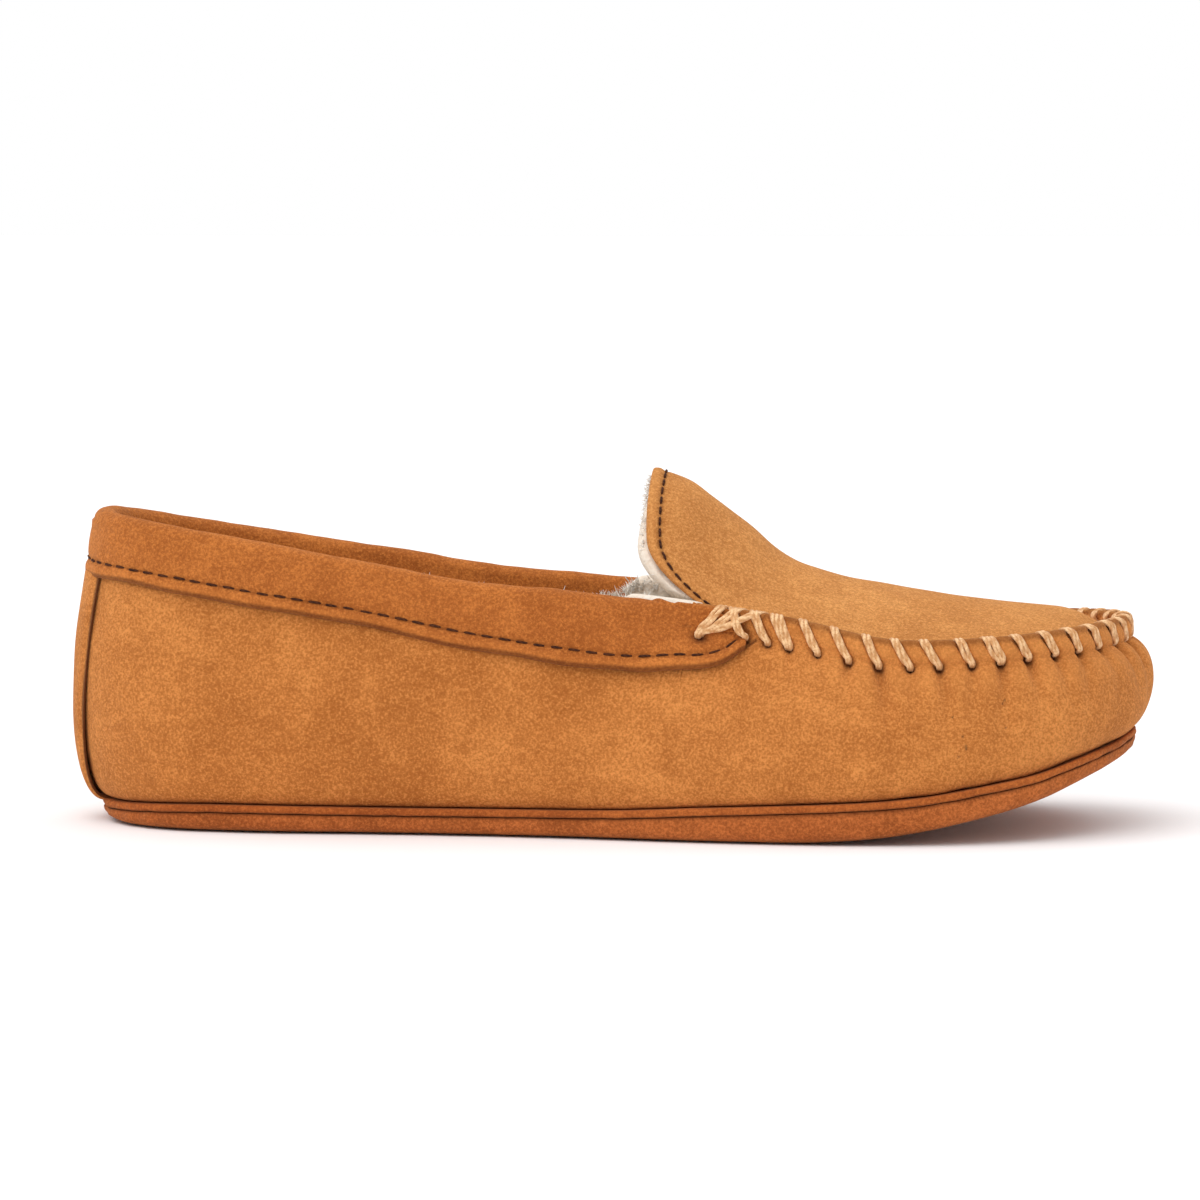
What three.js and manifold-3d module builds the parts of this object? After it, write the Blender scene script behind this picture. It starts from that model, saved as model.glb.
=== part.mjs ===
import * as THREE from 'three';
import Module from 'manifold-3d';

const wasm = await Module();
wasm.setup();

// A right-foot suede slipper moccasin, in millimetres: +X to the toe, +Y to the big-toe side, +Z up.
// Driving dimensions: overall sizes
const shoeLength = 265;
const shoeWidth = 98;
const heelHeight = 76.5;
const tongueHeight = 86.6;

// Leather, pile and board thicknesses
const wallThickness = 1.5;
const plugThickness = 1.4;
const collarThickness = 1.3;
const stripThickness = 1.4;
const counterThickness = 1.2;
const liningThickness = 4.6;
const plugLiningThickness = 4.4;
const footbedThickness = 5;
const insoleThickness = 1.4;
const fillerThickness = 1.5;
const outsoleThickness = 1.5;
const weltThickness = 1.8;

// Folded collar band
const innerCollarDepth = 6;
const toplineThickness = 6;
const collarSeamUp = 3;
const wallTopUnderCollar = 6;

// Raised seam that joins plug and wall
const seamHeight = 5.2;
const plugFlangeHeight = 4.3;
const holeDrop = 4.2;
const plugHoleDrop = 2;
const stitchPitch = 7.2;
const throatPitch = 2.7;
const threadWidth = 2.2;
const threadThickness = 1.1;

// Machine seams, sole edge and margins
const machineThread = 0.7;
const tongueSeamInset = 2.6;
const lastingMargin = 8;
const weltOut = 2.4;
const weltIn = 3;
const outsoleOut = 1.9;
const liningOverhang = 3;
const fit = 0.3;

// Grading of the pattern tables below, which are drawn for a 265 x 98 x 76.5 mm shoe
const gradeX = shoeLength / 265;
const gradeY = shoeWidth / 98;
const gradeZ = heelHeight / 76.5;

// Feather line: the outline where wall meets sole, from the heel by the outer side to the toe and back
const feather = [
  [-123, 0], [-118.5, -15], [-105, -26], [-83, -30.5], [-58, -31.5], [-32, -33.5], [-6, -37.5],
  [20, -43], [46, -46.5], [71, -47], [93, -42.5], [110, -33], [121.5, -18], [126, 1],
  [121.5, 19.5], [110, 33.5], [93, 40.5], [71, 42.5], [46, 39.5], [20, 34.5], [-6, 30.5],
  [-32, 28.5], [-58, 29], [-83, 28.5], [-105, 24], [-118.5, 14.5],
];

// Top line at the same stations: collar edge behind the throat, crest of the raised seam in front
const topline = [
  [-125.5, 0, 76.3], [-120.5, -14.5, 75.6], [-106, -24, 73.6], [-84, -28.5, 70],
  [-59, -30, 65.8], [-33, -31, 61.2], [-7, -32.5, 58.6], [19, -34, 55.7], [44, -37.5, 52.3],
  [68, -39.5, 47.4], [91, -37.5, 47.6], [109.5, -29.5, 48.9], [121.5, -15.5, 49.8],
  [126.6, 1, 50.3], [121.5, 17.5, 49.8], [109.5, 29.5, 48.9], [91, 35.5, 47.8],
  [68, 36.5, 47.6], [44, 35, 52.3], [19, 32, 55.6], [-7, 30.5, 58.2], [-33, 29.5, 60.8],
  [-59, 29, 65], [-84, 27.5, 68.8], [-106, 22.5, 72.2], [-120.5, 13.5, 75],
];

// Fullness of the wall at the same stations: low out, low up, high out, high down
const heelFull = [10.8, -2.2, 7.5, 30];
const cornerFull = [8.5, 0.5, 6, 26];
const sideFull = [5.5, 5, 4.5, 22];
const ballFull = [6, 5, 8.5, 9];
const toeFull = [6, 2.5, 8.2, 7];
const fullness = [
  heelFull, cornerFull, [6.5, 3, 5, 24], sideFull, sideFull, sideFull, sideFull,
  [5.5, 5, 5.5, 16], [6, 5, 7.5, 11], ballFull, ballFull, [6, 4, 8.2, 8], toeFull, toeFull,
  toeFull, [6, 4, 8.2, 8], ballFull, ballFull, [6, 5, 7.5, 11], [5.5, 5, 5.5, 16],
  sideFull, sideFull, sideFull, sideFull, [6.5, 3, 5, 24], cornerFull,
];
const stations = feather.length;
const toeStation = 13;
const throatStation = 7.14;

// Profiles along the length: top of the sole edge, tread, collar height and plug crown
const soleTopLine = [
  [-124, 5], [-118.5, 5.3], [-107, 6], [-93, 6.4], [-50, 6.2], [-12, 6.5], [4, 6.9], [22, 8],
  [41, 8.9], [61, 9.9], [76, 11.2], [93, 14], [103, 15.9], [112, 18.6], [122, 21.6], [129, 23.8],
];
const treadLine = [
  [-126, 0.9], [-119, 0.1], [-112, 0], [0, 0], [45, 0], [63, 1], [76, 2.8], [89, 5.5], [98, 7.7],
  [106, 10.2], [112, 12.6], [122, 16.4], [129, 18.8],
];
const collarDropLine = [
  [-130, 15.3], [-90, 15.3], [-44, 15.3], [-8, 16.9], [7, 16.9], [17, 15.3], [24, 14.3],
  [29, 12.4], [33, 9], [36.5, 6],
];
const collarTopLine = [[-130, 3], [8, 3], [17, 0.4], [20, 0.4], [22.6, 5.7], [36.5, 5.7]];
const wallTopLine = [[17, 9.3], [19, 5], [21, 0], [22, 0], [23, 0], [40, 0]];
const crownLine = [
  [6, 86.6], [11, 86.4], [14.7, 85.4], [20, 83.2], [25, 79.6], [30, 75.9], [35, 72.2],
  [40, 67.6], [45, 64.4], [50, 62.3], [59.4, 59.1], [69, 57.2], [79, 55.6], [89, 54.6],
  [98.5, 53.6], [108, 52.4],
];
const spineLine = [[7.14, 11], [8, 43], [9, 67], [10, 88], [11, 100], [12, 106], [13, 107]];

const up = new THREE.Vector3(0, 0, 1);

function mix(a, b, t) {
  return a + (b - a) * t;
}

function step(a, b, x) {
  const t = Math.min(1, Math.max(0, (x - a) / (b - a)));
  return t * t * (3 - 2 * t);
}

function hermite(a, b, c, d, t) {
  return b + 0.5 * t * (c - a + t * (2 * a - 5 * b + 4 * c - d + t * (3 * (b - c) + d - a)));
}

// Value of a closed table of stations at a fractional station
function around(table, column, station) {
  const i = Math.floor(station);
  const at = (k) => table[((k % stations) + stations) % stations][column];
  return hermite(at(i - 1), at(i), at(i + 1), at(i + 2), station - i);
}

// Value of an open table of [place, value] rows, smooth in between
function along(table, place) {
  const last = table.length - 1;
  if (place <= table[0][0]) return table[0][1];
  if (place >= table[last][0]) return table[last][1];
  const i = table.findIndex((row, k) => place < table[k + 1][0]);
  const [x1, y1] = table[i];
  const [x2, y2] = table[i + 1];
  const slope = (k) => {
    const low = table[Math.max(0, k - 1)];
    const high = table[Math.min(last, k + 1)];
    return (high[1] - low[1]) / (high[0] - low[0]);
  };
  const t = (place - x1) / (x2 - x1);
  const span = x2 - x1;
  const h = t * t * (3 - 2 * t);
  return mix(y1, y2, h) + span * (slope(i) * t * (1 - t) ** 2 - slope(i + 1) * t * t * (1 - t));
}

function planNormal(table, station) {
  const e = 0.02;
  const dx = around(table, 0, station + e) - around(table, 0, station - e);
  const dy = around(table, 1, station + e) - around(table, 1, station - e);
  return new THREE.Vector3(dy * gradeY, -dx * gradeX, 0).normalize();
}

function soleTop(x) {
  return along(soleTopLine, x / gradeX);
}

function tread(x) {
  return Math.max(0, along(treadLine, x / gradeX));
}

function featherPoint(station, out) {
  const x = around(feather, 0, station) * gradeX;
  const y = around(feather, 1, station) * gradeY;
  return new THREE.Vector3(x, y, 0).addScaledVector(planNormal(feather, station), out);
}

function toplinePoint(station) {
  const x = around(topline, 0, station) * gradeX;
  const y = around(topline, 1, station) * gradeY;
  return new THREE.Vector3(x, y, around(topline, 2, station) * gradeZ);
}

function bezier(a, b, c, d, t) {
  const s = 1 - t;
  const point = a.clone().multiplyScalar(s * s * s);
  point.addScaledVector(b, 3 * s * s * t);
  point.addScaledVector(c, 3 * s * t * t);
  return point.addScaledVector(d, t * t * t);
}

// Outer face of the wall. level: -1 to 0 lasting margin under the foot, 0 to 1 side, 1 to 2 raised seam
function wallFace(station, level) {
  const normal = planNormal(feather, station);
  const foot = featherPoint(station, lastingMargin * Math.min(0, level));
  foot.z = soleTop(foot.x) + fit;
  if (level <= 0) return foot;
  const [lowOut, lowUp, highOut, highDown] = [0, 1, 2, 3].map((k) => around(fullness, k, station));
  const base = toplinePoint(station).addScaledVector(up, -seamHeight);
  if (level >= 1) return base.addScaledVector(up, (level - 1) * seamHeight);
  const low = foot.clone().addScaledVector(normal, lowOut).addScaledVector(up, lowUp);
  const high = base.clone().addScaledVector(normal, highOut).addScaledVector(up, -highDown * gradeZ);
  return bezier(foot, low, high, base, level);
}

// Level of the wall face at a height
function levelAt(station, z) {
  const top = toplinePoint(station).z;
  if (z >= top - seamHeight) return 1 + (z - top + seamHeight) / seamHeight;
  let low = 0.15;
  let high = 1;
  for (let k = 0; k < 24; k += 1) {
    const middle = (low + high) / 2;
    if (wallFace(station, middle).z < z) low = middle;
    else high = middle;
  }
  return low;
}

function levelBelowTop(station, drop) {
  return levelAt(station, toplinePoint(station).z - drop);
}

function wallNormal(station, level) {
  const e = 0.01;
  const side = Math.min(level, 2 - e);
  const sideways = wallFace(station + e, level).sub(wallFace(station - e, level));
  const upwards = wallFace(station, side + e).sub(wallFace(station, Math.max(0.001, side - e)));
  return sideways.cross(upwards).normalize();
}

function wallOffset(station, level, out) {
  return wallFace(station, level).addScaledVector(wallNormal(station, level), out);
}

// Surfaces are lists of points and triangles
function grid(rows, columns, pointAt) {
  const points = [];
  const faces = [];
  for (let i = 0; i < rows; i += 1) {
    for (let j = 0; j < columns; j += 1) points.push(pointAt(i, j));
  }
  for (let i = 0; i < rows - 1; i += 1) {
    for (let j = 0; j < columns - 1; j += 1) {
      const a = i * columns + j;
      const b = a + columns;
      faces.push([a, b, b + 1], [a, b + 1, a + 1]);
    }
  }
  return { points, faces };
}

function join(surfaces) {
  const points = [];
  const faces = [];
  for (const surface of surfaces) {
    const start = points.length;
    points.push(...surface.points);
    faces.push(...surface.faces.map((face) => face.map((k) => k + start)));
  }
  return { points, faces };
}

function flip(surface) {
  return { points: surface.points, faces: surface.faces.map(([a, b, c]) => [a, c, b]) };
}

// Points at one place become one, and triangles that close up are dropped
function weld(surface, reach = 0.02) {
  const seen = new Map();
  const points = [];
  const index = surface.points.map((p) => {
    const key = [p.x, p.y, p.z].map((v) => Math.round(v / reach)).join();
    if (!seen.has(key)) {
      seen.set(key, points.length);
      points.push(p);
    }
    return seen.get(key);
  });
  const faces = surface.faces.map((face) => face.map((k) => index[k]));
  return { points, faces: faces.filter(([a, b, c]) => a !== b && b !== c && c !== a) };
}

function vertexNormals({ points, faces }) {
  const normals = points.map(() => new THREE.Vector3());
  for (const [a, b, c] of faces) {
    const ab = points[b].clone().sub(points[a]);
    const ac = points[c].clone().sub(points[a]);
    const face = ab.cross(ac);
    for (const k of [a, b, c]) normals[k].add(face);
  }
  return normals.map((normal) => normal.normalize());
}

// A sheet of leather or pile: the surface offset to two faces, closed round its edge
function sheet(surface, outer, inner) {
  const { points, faces } = weld(surface);
  const normals = vertexNormals({ points, faces });
  const place = (offset) => points.map((p, k) => {
    const distance = typeof offset === 'function' ? offset(p) : offset;
    return p.clone().addScaledVector(normals[k], distance);
  });
  const count = points.length;
  const solid = faces.map((face) => [...face]);
  for (const [a, b, c] of faces) solid.push([a + count, c + count, b + count]);
  const edges = new Set(faces.flatMap(([a, b, c]) => [`${a},${b}`, `${b},${c}`, `${c},${a}`]));
  for (const edge of edges) {
    const [a, b] = edge.split(',').map(Number);
    if (edges.has(`${b},${a}`)) continue;
    solid.push([b, a, a + count], [b, a + count, b + count]);
  }
  return { points: [...place(outer), ...place(inner)], faces: solid };
}

// Rungs across a closed loop whose two sides mirror each other
function ladder(loop, across, height) {
  const half = loop.length / 2;
  return grid(half + 1, across + 1, (i, j) => {
    const a = loop[i];
    const b = loop[(loop.length - i) % loop.length];
    const point = a.clone().lerp(b, j / across);
    if (height && j > 0 && j < across) point.z = height(point.x);
    return point;
  });
}

function skirt(loops) {
  const closed = loops.map((loop) => [...loop, loop[0]]);
  return grid(closed[0].length, loops.length, (i, j) => closed[j][i]);
}

// A plate or tray: loops from the under edge up the outside and in to the last one, capped
function plate(loops, underHeight, overHeight) {
  const under = flip(ladder(loops[0], 3, underHeight));
  const over = ladder(loops[loops.length - 1], 3, overHeight);
  return weld(join([under, skirt(loops), over]), 0.001);
}

function ringSolid(loops) {
  return weld(skirt([...loops, loops[0]]), 0.001);
}

// A thread: an oval section swept along a path, with the wide side along a given direction
function thread(path, wide, width, thickness, sides) {
  const points = [];
  const faces = [];
  path.forEach((p, i) => {
    const next = path[Math.min(path.length - 1, i + 1)];
    const tangent = next.clone().sub(path[Math.max(0, i - 1)]).normalize();
    const across = wide[i].clone().addScaledVector(tangent, -wide[i].dot(tangent)).normalize();
    const rise = tangent.clone().cross(across);
    for (let k = 0; k < sides; k += 1) {
      const angle = (2 * Math.PI * (k + 0.5)) / sides;
      const point = p.clone().addScaledVector(across, (Math.cos(angle) * width) / 2);
      points.push(point.addScaledVector(rise, (Math.sin(angle) * thickness) / 2));
    }
  });
  for (let i = 0; i < path.length - 1; i += 1) {
    for (let k = 0; k < sides; k += 1) {
      const a = i * sides + k;
      const b = i * sides + ((k + 1) % sides);
      faces.push([a, b, b + sides], [a, b + sides, a + sides]);
    }
  }
  const end = (path.length - 1) * sides;
  for (let k = 1; k < sides - 1; k += 1) {
    faces.push([0, k + 1, k], [end, end + k, end + k + 1]);
  }
  return { points, faces };
}

function toManifold({ points, faces }) {
  const vertProperties = new Float32Array(points.flatMap((p) => [p.x, p.y, p.z]));
  const triVerts = new Uint32Array(faces.flat());
  const mesh = new wasm.Mesh({ numProp: 3, vertProperties, triVerts });
  mesh.merge();
  return new wasm.Manifold(mesh);
}

function fromManifold(solid) {
  const mesh = solid.getMesh();
  const points = [];
  for (let k = 0; k < mesh.vertProperties.length; k += mesh.numProp) {
    points.push(new THREE.Vector3(...mesh.vertProperties.slice(k, k + 3)));
  }
  const faces = [];
  for (let k = 0; k < mesh.triVerts.length; k += 3) {
    faces.push([...mesh.triVerts.slice(k, k + 3)]);
  }
  return { points, faces };
}

// Stations shared by every layer, so that facets of neighbours run parallel
const halfStations = [
  0.25, 0.5, 0.75, 1, 1.33, 1.67, 2, 2.5, 3, 4, 5, 5.5, 6, 6.33, 6.67, 6.9, 7, 7.14, 7.25, 7.4,
  7.52, 7.64, 7.8, 8, 8.5, 9, 9.5, 10, 10.33, 10.67, 11, 11.33, 11.67, 12, 12.33, 12.67,
];
const allStations = [
  ...halfStations, toeStation, ...halfStations.map((u) => stations - u).reverse(),
];

// Rows of the wall's side, shared by the strip that lies on it, and the strip's half width at them
const wallSides = [0.08, 0.17, 0.3, 0.45, 0.6, 0.75, 0.88, 1];
const stripHalfWidth = [6.5, 7.5, 9, 10.5, 12, 13.3, 14.5, 15.5];

function stationsBetween(low, high) {
  const inside = allStations.filter((u) => u > low + 0.04 && u < high - 0.04);
  return [low, ...inside, high];
}

// Stations from the inner side round the heel to the outer side
function stationsRoundHeel(reach) {
  const side = halfStations.filter((u) => u < reach - 0.04);
  return [-reach, ...side.map((u) => -u).reverse(), 0, ...side, reach];
}

function placeX(station) {
  return around(topline, 0, station);
}

function collarDrop(station) {
  return along(collarDropLine, placeX(station));
}

function wallDrop(station) {
  const x = placeX(station);
  if (x < 17) return collarDrop(station) - wallTopUnderCollar;
  return along(wallTopLine, x);
}

function sideWall() {
  const columns = stationsBetween(0.01, stations - 0.01);
  const surface = grid(columns.length, 13, (i, j) => {
    const top = levelBelowTop(columns[i], wallDrop(columns[i]));
    if (j < 3) return wallFace(columns[i], [-1, -0.4, 0][j]);
    if (j < 11) return wallFace(columns[i], wallSides[j - 3] * Math.min(1, top));
    return wallFace(columns[i], top < 1 ? top : mix(1, top, (j - 10) / 2));
  });
  return sheet(surface, 0, -wallThickness);
}

// Height of the plug's flange foot, and the face of the plug between seam and spine
function plugPoint(station, inward) {
  const side = station < toeStation ? station : stations - station;
  const edge = toplinePoint(station);
  const seamInset = wallThickness + fit + plugThickness;
  edge.addScaledVector(planNormal(topline, station), -seamInset);
  const base = edge.clone().addScaledVector(up, -plugFlangeHeight);
  if (inward < 0) return base.lerp(edge, -inward);
  const other = toplinePoint(stations - station);
  const spineX = along(spineLine, side) * gradeX;
  const riseZ = tongueHeight / 86.6;
  const spineZ = along(crownLine, spineX / gradeX) * mix(gradeZ, riseZ, step(60, 11, spineX));
  const spine = new THREE.Vector3(spineX, (edge.y + other.y) / 2, spineZ);
  const rear = 1 - step(throatStation, 8.2, side);
  const low = base.clone().lerp(spine, 1 / 3);
  const high = base.clone().lerp(spine, 2 / 3);
  low.lerp(new THREE.Vector3(5 * gradeX, base.y, 0), rear);
  high.lerp(new THREE.Vector3(spine.x, base.y * 0.45, 0), rear);
  const t = inward;
  const point = bezier(base, low, high, spine, t);
  const c = -1.6 * (1 - step(throatStation, 9.4, side)) - 0.5 * step(throatStation, 9.4, side);
  const rise = (2 + c) * t - (1 + 2 * c) * t * t + c * t ** 3;
  point.z = mix(base.z, spine.z, rise);
  return point;
}

function plugStations() {
  return stationsBetween(throatStation, toeStation);
}

// One rung of the plug from the outer seam over the spine to the inner seam
function plugRung(station, inwards) {
  const outer = inwards.map((t) => plugPoint(station, t));
  const inner = inwards.slice(0, -1).map((t) => plugPoint(stations - station, t));
  return [...outer, ...inner.reverse()];
}

function extended(first, second, reach) {
  return first.map((p, k) => {
    const away = p.clone().sub(second[k]).normalize();
    return p.clone().addScaledVector(away, reach);
  });
}

function rungSurface(rungs) {
  return flip(grid(rungs.length, rungs[0].length, (i, j) => rungs[i][rungs[0].length - 1 - j]));
}

function plug() {
  const inwards = [-1, -0.5, 0, 0.09, 0.24, 0.42, 0.6, 0.8, 1];
  const rungs = plugStations().map((u) => plugRung(u, inwards));
  return sheet(rungSurface(rungs), 0, -plugThickness);
}

function plugLining() {
  const inwards = [0.24, 0.42, 0.6, 0.8, 1];
  const rungs = plugStations().filter((u) => u <= 12).map((u) => plugRung(u, inwards));
  const rear = extended(rungs[0], rungs[1], liningOverhang);
  const under = -plugThickness - fit;
  return sheet(rungSurface([rear, ...rungs]), under, under - plugLiningThickness);
}

// Collar band: outer leaf, fold over the topline and inner leaf, fading to a flat tab at the throat
function collarBand() {
  const columns = stationsRoundHeel(7.58);
  const outerFace = fit + collarThickness;
  const radius = toplineThickness / 2;
  const surface = grid(columns.length, 11, (i, j) => {
    const u = columns[i];
    const x = placeX(u);
    const fold = 1 - step(8, 18, x);
    const top = along(collarTopLine, x);
    if (j < 5) {
      return wallOffset(u, levelBelowTop(u, mix(collarDrop(u), top, j / 4)), outerFace);
    }
    const level = levelBelowTop(u, top);
    const shoulder = wallOffset(u, level, outerFace);
    const away = planNormal(topline, u);
    const angle = Math.PI * fold * Math.min(1, (j - 4) / 4);
    shoulder.addScaledVector(away, radius * (Math.cos(angle) - 1));
    shoulder.addScaledVector(up, radius * Math.sin(angle));
    const inside = innerCollarDepth * (1 - step(-3, 8, x)) * Math.max(0, (j - 8) / 2);
    return shoulder.addScaledVector(up, -inside);
  });
  return sheet(surface, 0, -collarThickness);
}

function toplineFoam() {
  const columns = stationsRoundHeel(6.33);
  const surface = grid(columns.length, 3, (i, j) => {
    const low = wallDrop(columns[i]) - fit - 0.1;
    return wallFace(columns[i], levelBelowTop(columns[i], mix(low, 3, j / 2)));
  });
  return sheet(surface, -0.1, -toplineThickness + 2 * collarThickness + 3 * fit);
}

// Depth inside the wall's outer face that the counter and its fit take up
function innerFace(p) {
  const rear = 1 - step(-66, -48, p.x / gradeX);
  return -wallThickness - fit - rear * (counterThickness + fit);
}

function heelCounter() {
  const columns = stationsRoundHeel(3);
  const surface = grid(columns.length, 7, (i, j) => {
    const heights = liningHeights(columns[i]);
    const low = wallFace(columns[i], 0).z + wallThickness + insoleThickness + 8 * fit;
    const high = toplinePoint(columns[i]).z - 11;
    return wallFace(columns[i], levelAt(columns[i], [low, ...heights.slice(0, 5), high][j]));
  });
  const outer = -wallThickness - fit;
  return sheet(surface, outer, outer - counterThickness);
}

// Heights that the pile's rows share with the counter, from the footbed to the collar or the seam
function liningHeights(station) {
  const bottom = wallThickness + insoleThickness + footbedThickness + 7 * fit;
  const low = wallFace(station, 0).z + bottom;
  const rear = 1 - step(4, 20, placeX(station));
  const rearDrop = collarDrop(station) - wallTopUnderCollar + 0.1;
  const high = toplinePoint(station).z - mix(seamHeight + 6, rearDrop, rear);
  return [0, 0.12, 0.3, 0.55, 0.8, 1].map((t) => mix(low, high, t));
}

function wallLining() {
  const columns = stationsBetween(0.02, stations - 0.02);
  const surface = grid(columns.length, 6, (i, j) => {
    return wallFace(columns[i], levelAt(columns[i], liningHeights(columns[i])[j]));
  });
  return sheet(surface, (p) => innerFace(p) - fit, (p) => innerFace(p) - liningThickness);
}

function heelStrip() {
  const surface = grid(7, 8, (i, j) => {
    const u = mix(-1, 1, i / 6) * stripHalfWidth[j] / 18.5;
    const top = levelBelowTop(u, wallDrop(u));
    if (j < 7) return wallFace(u, wallSides[j] * top);
    return wallFace(u, levelBelowTop(u, collarDrop(u) + fit + 0.1));
  });
  return sheet(surface, fit + stripThickness, fit);
}

// Outline loop at a distance outside the feather line and a height above a profile
function loopAt(out, height) {
  return soleStations().map((u) => {
    const point = featherPoint(u, out);
    point.z = height(point.x);
    return point;
  });
}

function soleStations() {
  const half = [
    0.25, 0.5, 1, 1.5, 2, 3, 4, 5, 6, 6.5, 7, 7.5, 8, 8.5, 9, 9.5, 10, 10.5, 11, 11.5, 12, 12.5,
  ];
  return [0, ...half, toeStation, ...half.map((u) => stations - u).reverse()];
}

function outsole() {
  const rim = (x) => soleTop(x) - weltThickness - fit;
  const floor = (x) => tread(x) + outsoleThickness;
  const lower = (x) => mix(tread(x), rim(x), 0.42);
  const loops = [
    loopAt(-2.2, tread), loopAt(0.7, (x) => mix(tread(x), rim(x), 0.1)), loopAt(outsoleOut, lower),
    loopAt(outsoleOut, rim), loopAt(outsoleOut - outsoleThickness, rim),
    loopAt(outsoleOut - outsoleThickness, floor),
  ];
  return plate(loops, tread, floor);
}

function midsole() {
  const edge = outsoleOut - outsoleThickness - fit;
  const floor = (x) => tread(x) + outsoleThickness + fit;
  const shelf = (x) => soleTop(x) - weltThickness - fit;
  const top = (x) => soleTop(x) - fit;
  const inner = -weltIn - fit;
  const loops = [loopAt(edge, floor), loopAt(edge, shelf), loopAt(inner, shelf), loopAt(inner, top)];
  return plate(loops, floor, top);
}

function welt() {
  const top = (x) => soleTop(x);
  const bottom = (x) => soleTop(x) - weltThickness;
  const middle = (x) => soleTop(x) - weltThickness / 2;
  return ringSolid([
    loopAt(-weltIn, bottom), loopAt(weltOut - 0.4, bottom), loopAt(weltOut, middle),
    loopAt(weltOut - 0.4, top), loopAt(-weltIn, top),
  ]);
}

function bottomFiller() {
  const edge = -lastingMargin - 4 * fit;
  const low = (x) => soleTop(x) + fit;
  const high = (x) => soleTop(x) + fit + fillerThickness;
  return plate([loopAt(edge, low), loopAt(edge, high)], low, high);
}

function insoleBoard() {
  const low = (x) => soleTop(x) + wallThickness + 2 * fit;
  const high = (x) => low(x) + insoleThickness;
  return plate([loopAt(-1, low), loopAt(-1, high)], low, high);
}

function footbed() {
  const low = (x) => soleTop(x) + wallThickness + insoleThickness + 3 * fit;
  const high = (x) => low(x) + footbedThickness;
  const loop = (height) => soleStations().map((u) => {
    const foot = wallFace(u, 0);
    const level = levelAt(u, foot.z + wallThickness + insoleThickness + 3 * fit);
    const point = wallFace(u, level);
    point.addScaledVector(planNormal(feather, u), innerFace(point) - 0.3);
    point.z = height(point.x);
    return point;
  });
  return plate([loop(low), loop(high)], low, high);
}

// The crest of the raised seam as a fine path, for places given by running length
function seamPath() {
  const rows = [];
  let run = 0;
  let last = null;
  for (let u = throatStation; u <= stations - throatStation; u += 0.01) {
    const point = toplinePoint(u);
    if (last) run += point.distanceTo(last);
    rows.push({ u, run });
    last = point;
  }
  return rows;
}

function stationAtRun(rows, run) {
  const k = rows.findIndex((row) => row.run >= run);
  return rows[k < 0 ? rows.length - 1 : k].u;
}

// Holes along the seam: close together at both throats, evenly spaced round the toe
function stitchRuns(total) {
  const ends = [2.2, 2.2 + throatPitch, 2.2 + 2 * throatPitch];
  const start = ends[2] + stitchPitch * 0.7;
  const span = total - 2 * start;
  const count = Math.round(span / stitchPitch);
  const middle = Array.from({ length: count + 1 }, (_, k) => start + (span * k) / count);
  return [...ends, ...middle, ...ends.map((run) => total - run).reverse()];
}

function seamFrame(rows, run) {
  const u = stationAtRun(rows, run);
  const e = 0.02;
  const forward = toplinePoint(u + e).sub(toplinePoint(u - e)).normalize();
  return { crest: toplinePoint(u), out: planNormal(topline, u), forward };
}

function seamPlace(rows, run, out, drop) {
  const { crest, out: away } = seamFrame(rows, run);
  return crest.addScaledVector(away, out).addScaledVector(up, -drop);
}

// Whip stitch section as [share of the way to the next hole, out from the wall face, below the crest]
function whipTurn() {
  const half = threadThickness / 2;
  const inside = -wallThickness - fit - plugThickness;
  const clear = half + fit;
  return [
    [0, clear * 0.6, holeDrop + 0.1], [0.06, clear + 0.15, holeDrop - 0.8],
    [0.3, clear + 0.05, 1.2], [0.42, clear * 0.6, -clear * 0.6],
    [0.55, inside / 2, -clear - 0.25], [0.7, inside - clear * 0.6, -clear * 0.6],
    [0.9, inside - clear - 0.1, 1], [1, inside - clear * 0.6, plugHoleDrop - 0.05],
    [1, inside / 2, (holeDrop + plugHoleDrop) / 2],
  ];
}

function apronThread(rows, runs) {
  const path = [];
  const wide = [];
  for (let k = runs.length - 1; k > 0; k -= 1) {
    for (const [share, out, drop] of whipTurn()) {
      const run = mix(runs[k], runs[k - 1], share);
      path.push(seamPlace(rows, run, out, drop));
      wide.push(seamFrame(rows, run).forward);
    }
  }
  return thread(path, wide, threadWidth, threadThickness, 5);
}

function holeCutter(rows, run) {
  const inside = -wallThickness - fit - plugThickness;
  const reach = 1.2;
  const { out, forward } = seamFrame(rows, run);
  const slope = (holeDrop - plugHoleDrop) / -inside;
  const start = seamPlace(rows, run, inside - reach, plugHoleDrop - slope * reach);
  const end = seamPlace(rows, run, reach, holeDrop + slope * reach);
  const width = threadWidth + 2 * fit;
  const height = threadThickness + 2 * fit;
  const cutter = thread([start, end], [forward, forward], width * 1.42, height * 1.42, 4);
  return out.length() > 0 ? toManifold(cutter) : null;
}

function pierced(surface, cutters) {
  let solid = toManifold(surface);
  for (const cutter of cutters) solid = solid.subtract(cutter);
  return fromManifold(solid);
}

function collarStitching() {
  const columns = stationsRoundHeel(7.46);
  const out = fit + collarThickness + fit + machineThread / 2;
  const path = columns.map((u) => {
    return wallOffset(u, levelBelowTop(u, collarDrop(u) - collarSeamUp), out);
  });
  const wide = columns.map(() => up);
  return thread(path, wide, machineThread, machineThread, 4);
}

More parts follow.
